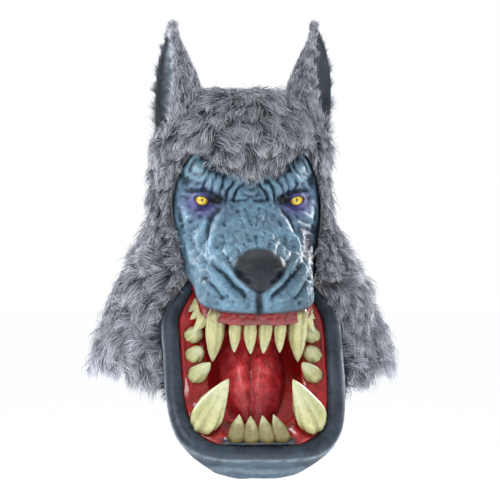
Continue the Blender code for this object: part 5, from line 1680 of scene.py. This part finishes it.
# One row for each lamp: name, place, size across, power in watts
LAMPS = [
    ("key", (-1.6, -2.3, 1.4), 1.2, 34),
    ("fill", (1.9, -2.6, 0.2), 1.8, 4),
    ("edge_left", (-1.5, 1.0, 0.6), 0.8, 34),
    ("edge_right", (1.5, 0.95, 0.45), 0.7, 50),
    ("top", (0.0, 0.0, 1.8), 1.0, 12),
    ("back", (0.0, 2.4, 0.9), 1.4, 6),
]


def aim(obj, place, target):
    obj.location = place
    obj.rotation_euler = (target - Vector(place)).to_track_quat("-Z", "Y").to_euler()


def make_floor():
    """A pale floor under the mask."""
    ways = [(-1, -1), (1, -1), (1, 1), (-1, 1)]
    corners = [(FLOOR_REACH * x, FLOOR_REACH * y, -FLOOR_DROP) for x, y in ways]
    mesh = bpy.data.meshes.new("floor")
    mesh.from_pydata(corners, [], [(0, 1, 2, 3)])
    paper = bpy.data.materials.new("paper")
    paper.use_nodes = True
    shader = paper.node_tree.nodes["Principled BSDF"]
    set_inputs(shader, {"Base Color": (0.85, 0.85, 0.86, 1), "Roughness": 0.95, "Specular IOR Level": 0.1})
    set_inputs(shader, {"Emission Color": (1, 1, 1, 1), "Emission Strength": 0.60})
    mesh.materials.append(paper)
    add_to_scene("floor", mesh)


def make_surround():
    """A surround that looks white to the camera and lights the mask more dimly."""
    world = bpy.data.worlds.new("studio")
    world.use_nodes = True
    nodes, links = world.node_tree.nodes, world.node_tree.links
    seen, lit = nodes["Background"], nodes.new("ShaderNodeBackground")
    set_inputs(seen, {"Color": (1.0, 1.0, 1.0, 1)})
    set_inputs(lit, {"Color": (0.95, 0.97, 1.0, 1), "Strength": 0.47})
    path, blend = nodes.new("ShaderNodeLightPath"), nodes.new("ShaderNodeMixShader")
    links.new(path.outputs["Is Camera Ray"], blend.inputs["Fac"])
    links.new(lit.outputs["Background"], blend.inputs[1])
    links.new(seen.outputs["Background"], blend.inputs[2])
    links.new(blend.outputs["Shader"], nodes["World Output"].inputs["Surface"])
    bpy.context.scene.world = world


def make_lamps():
    for name, place, size, power in LAMPS:
        lamp = bpy.data.lights.new(name, "AREA")
        lamp.shape = "DISK"
        lamp.size = size
        lamp.energy = power
        obj = add_to_scene(name, lamp)
        aim(obj, place, LIT_AT)
        obj.visible_camera = False


def make_camera():
    camera = bpy.data.cameras.new("camera")
    camera.sensor_width = 36
    camera.lens = camera.sensor_width * VIEW_DISTANCE / VIEW_WIDTH
    obj = add_to_scene("camera", camera)
    away = Vector((math.sin(VIEW_TURN), -math.cos(VIEW_TURN), 0))
    aim(obj, VIEW_CENTRE + away * VIEW_DISTANCE, VIEW_CENTRE)
    bpy.context.scene.camera = obj
    bpy.context.scene.view_settings.view_transform = "Standard"


def main():
    noise.seed_set(NOISE_SEED)
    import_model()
    make_floor()
    make_surround()
    make_lamps()
    make_camera()
    finishes = {name: make_finish(name) for name in FINISHES}
    surface, columns = make_face(finishes["latex"])
    make_eyes(finishes["eye"])
    make_upper_gum(surface, columns, finishes["wet"])
    make_upper_teeth(finishes["tooth"])
    lid = make_lid_cutter()
    make_jaw_skin(finishes["slate"], lid)
    make_lower_gum(finishes["wet"], lid)
    make_lining(finishes["wet"], lid)
    make_tongue(finishes["tongue"])
    make_lower_teeth(finishes["tooth"])
    make_backing(finishes["cloth"], make_jaw_cutter())
    lump = make_hood_lump()
    for name, side in SIDES:
        make_ear(side, name, finishes, lump)
        make_ear_fur(side, name, finishes["fur"])
    make_hood_fur(finishes["fur"])
    for obj in [obj for obj in bpy.data.objects if obj.name.endswith("_cutter")]:
        bpy.data.objects.remove(obj, do_unlink=True)


main()
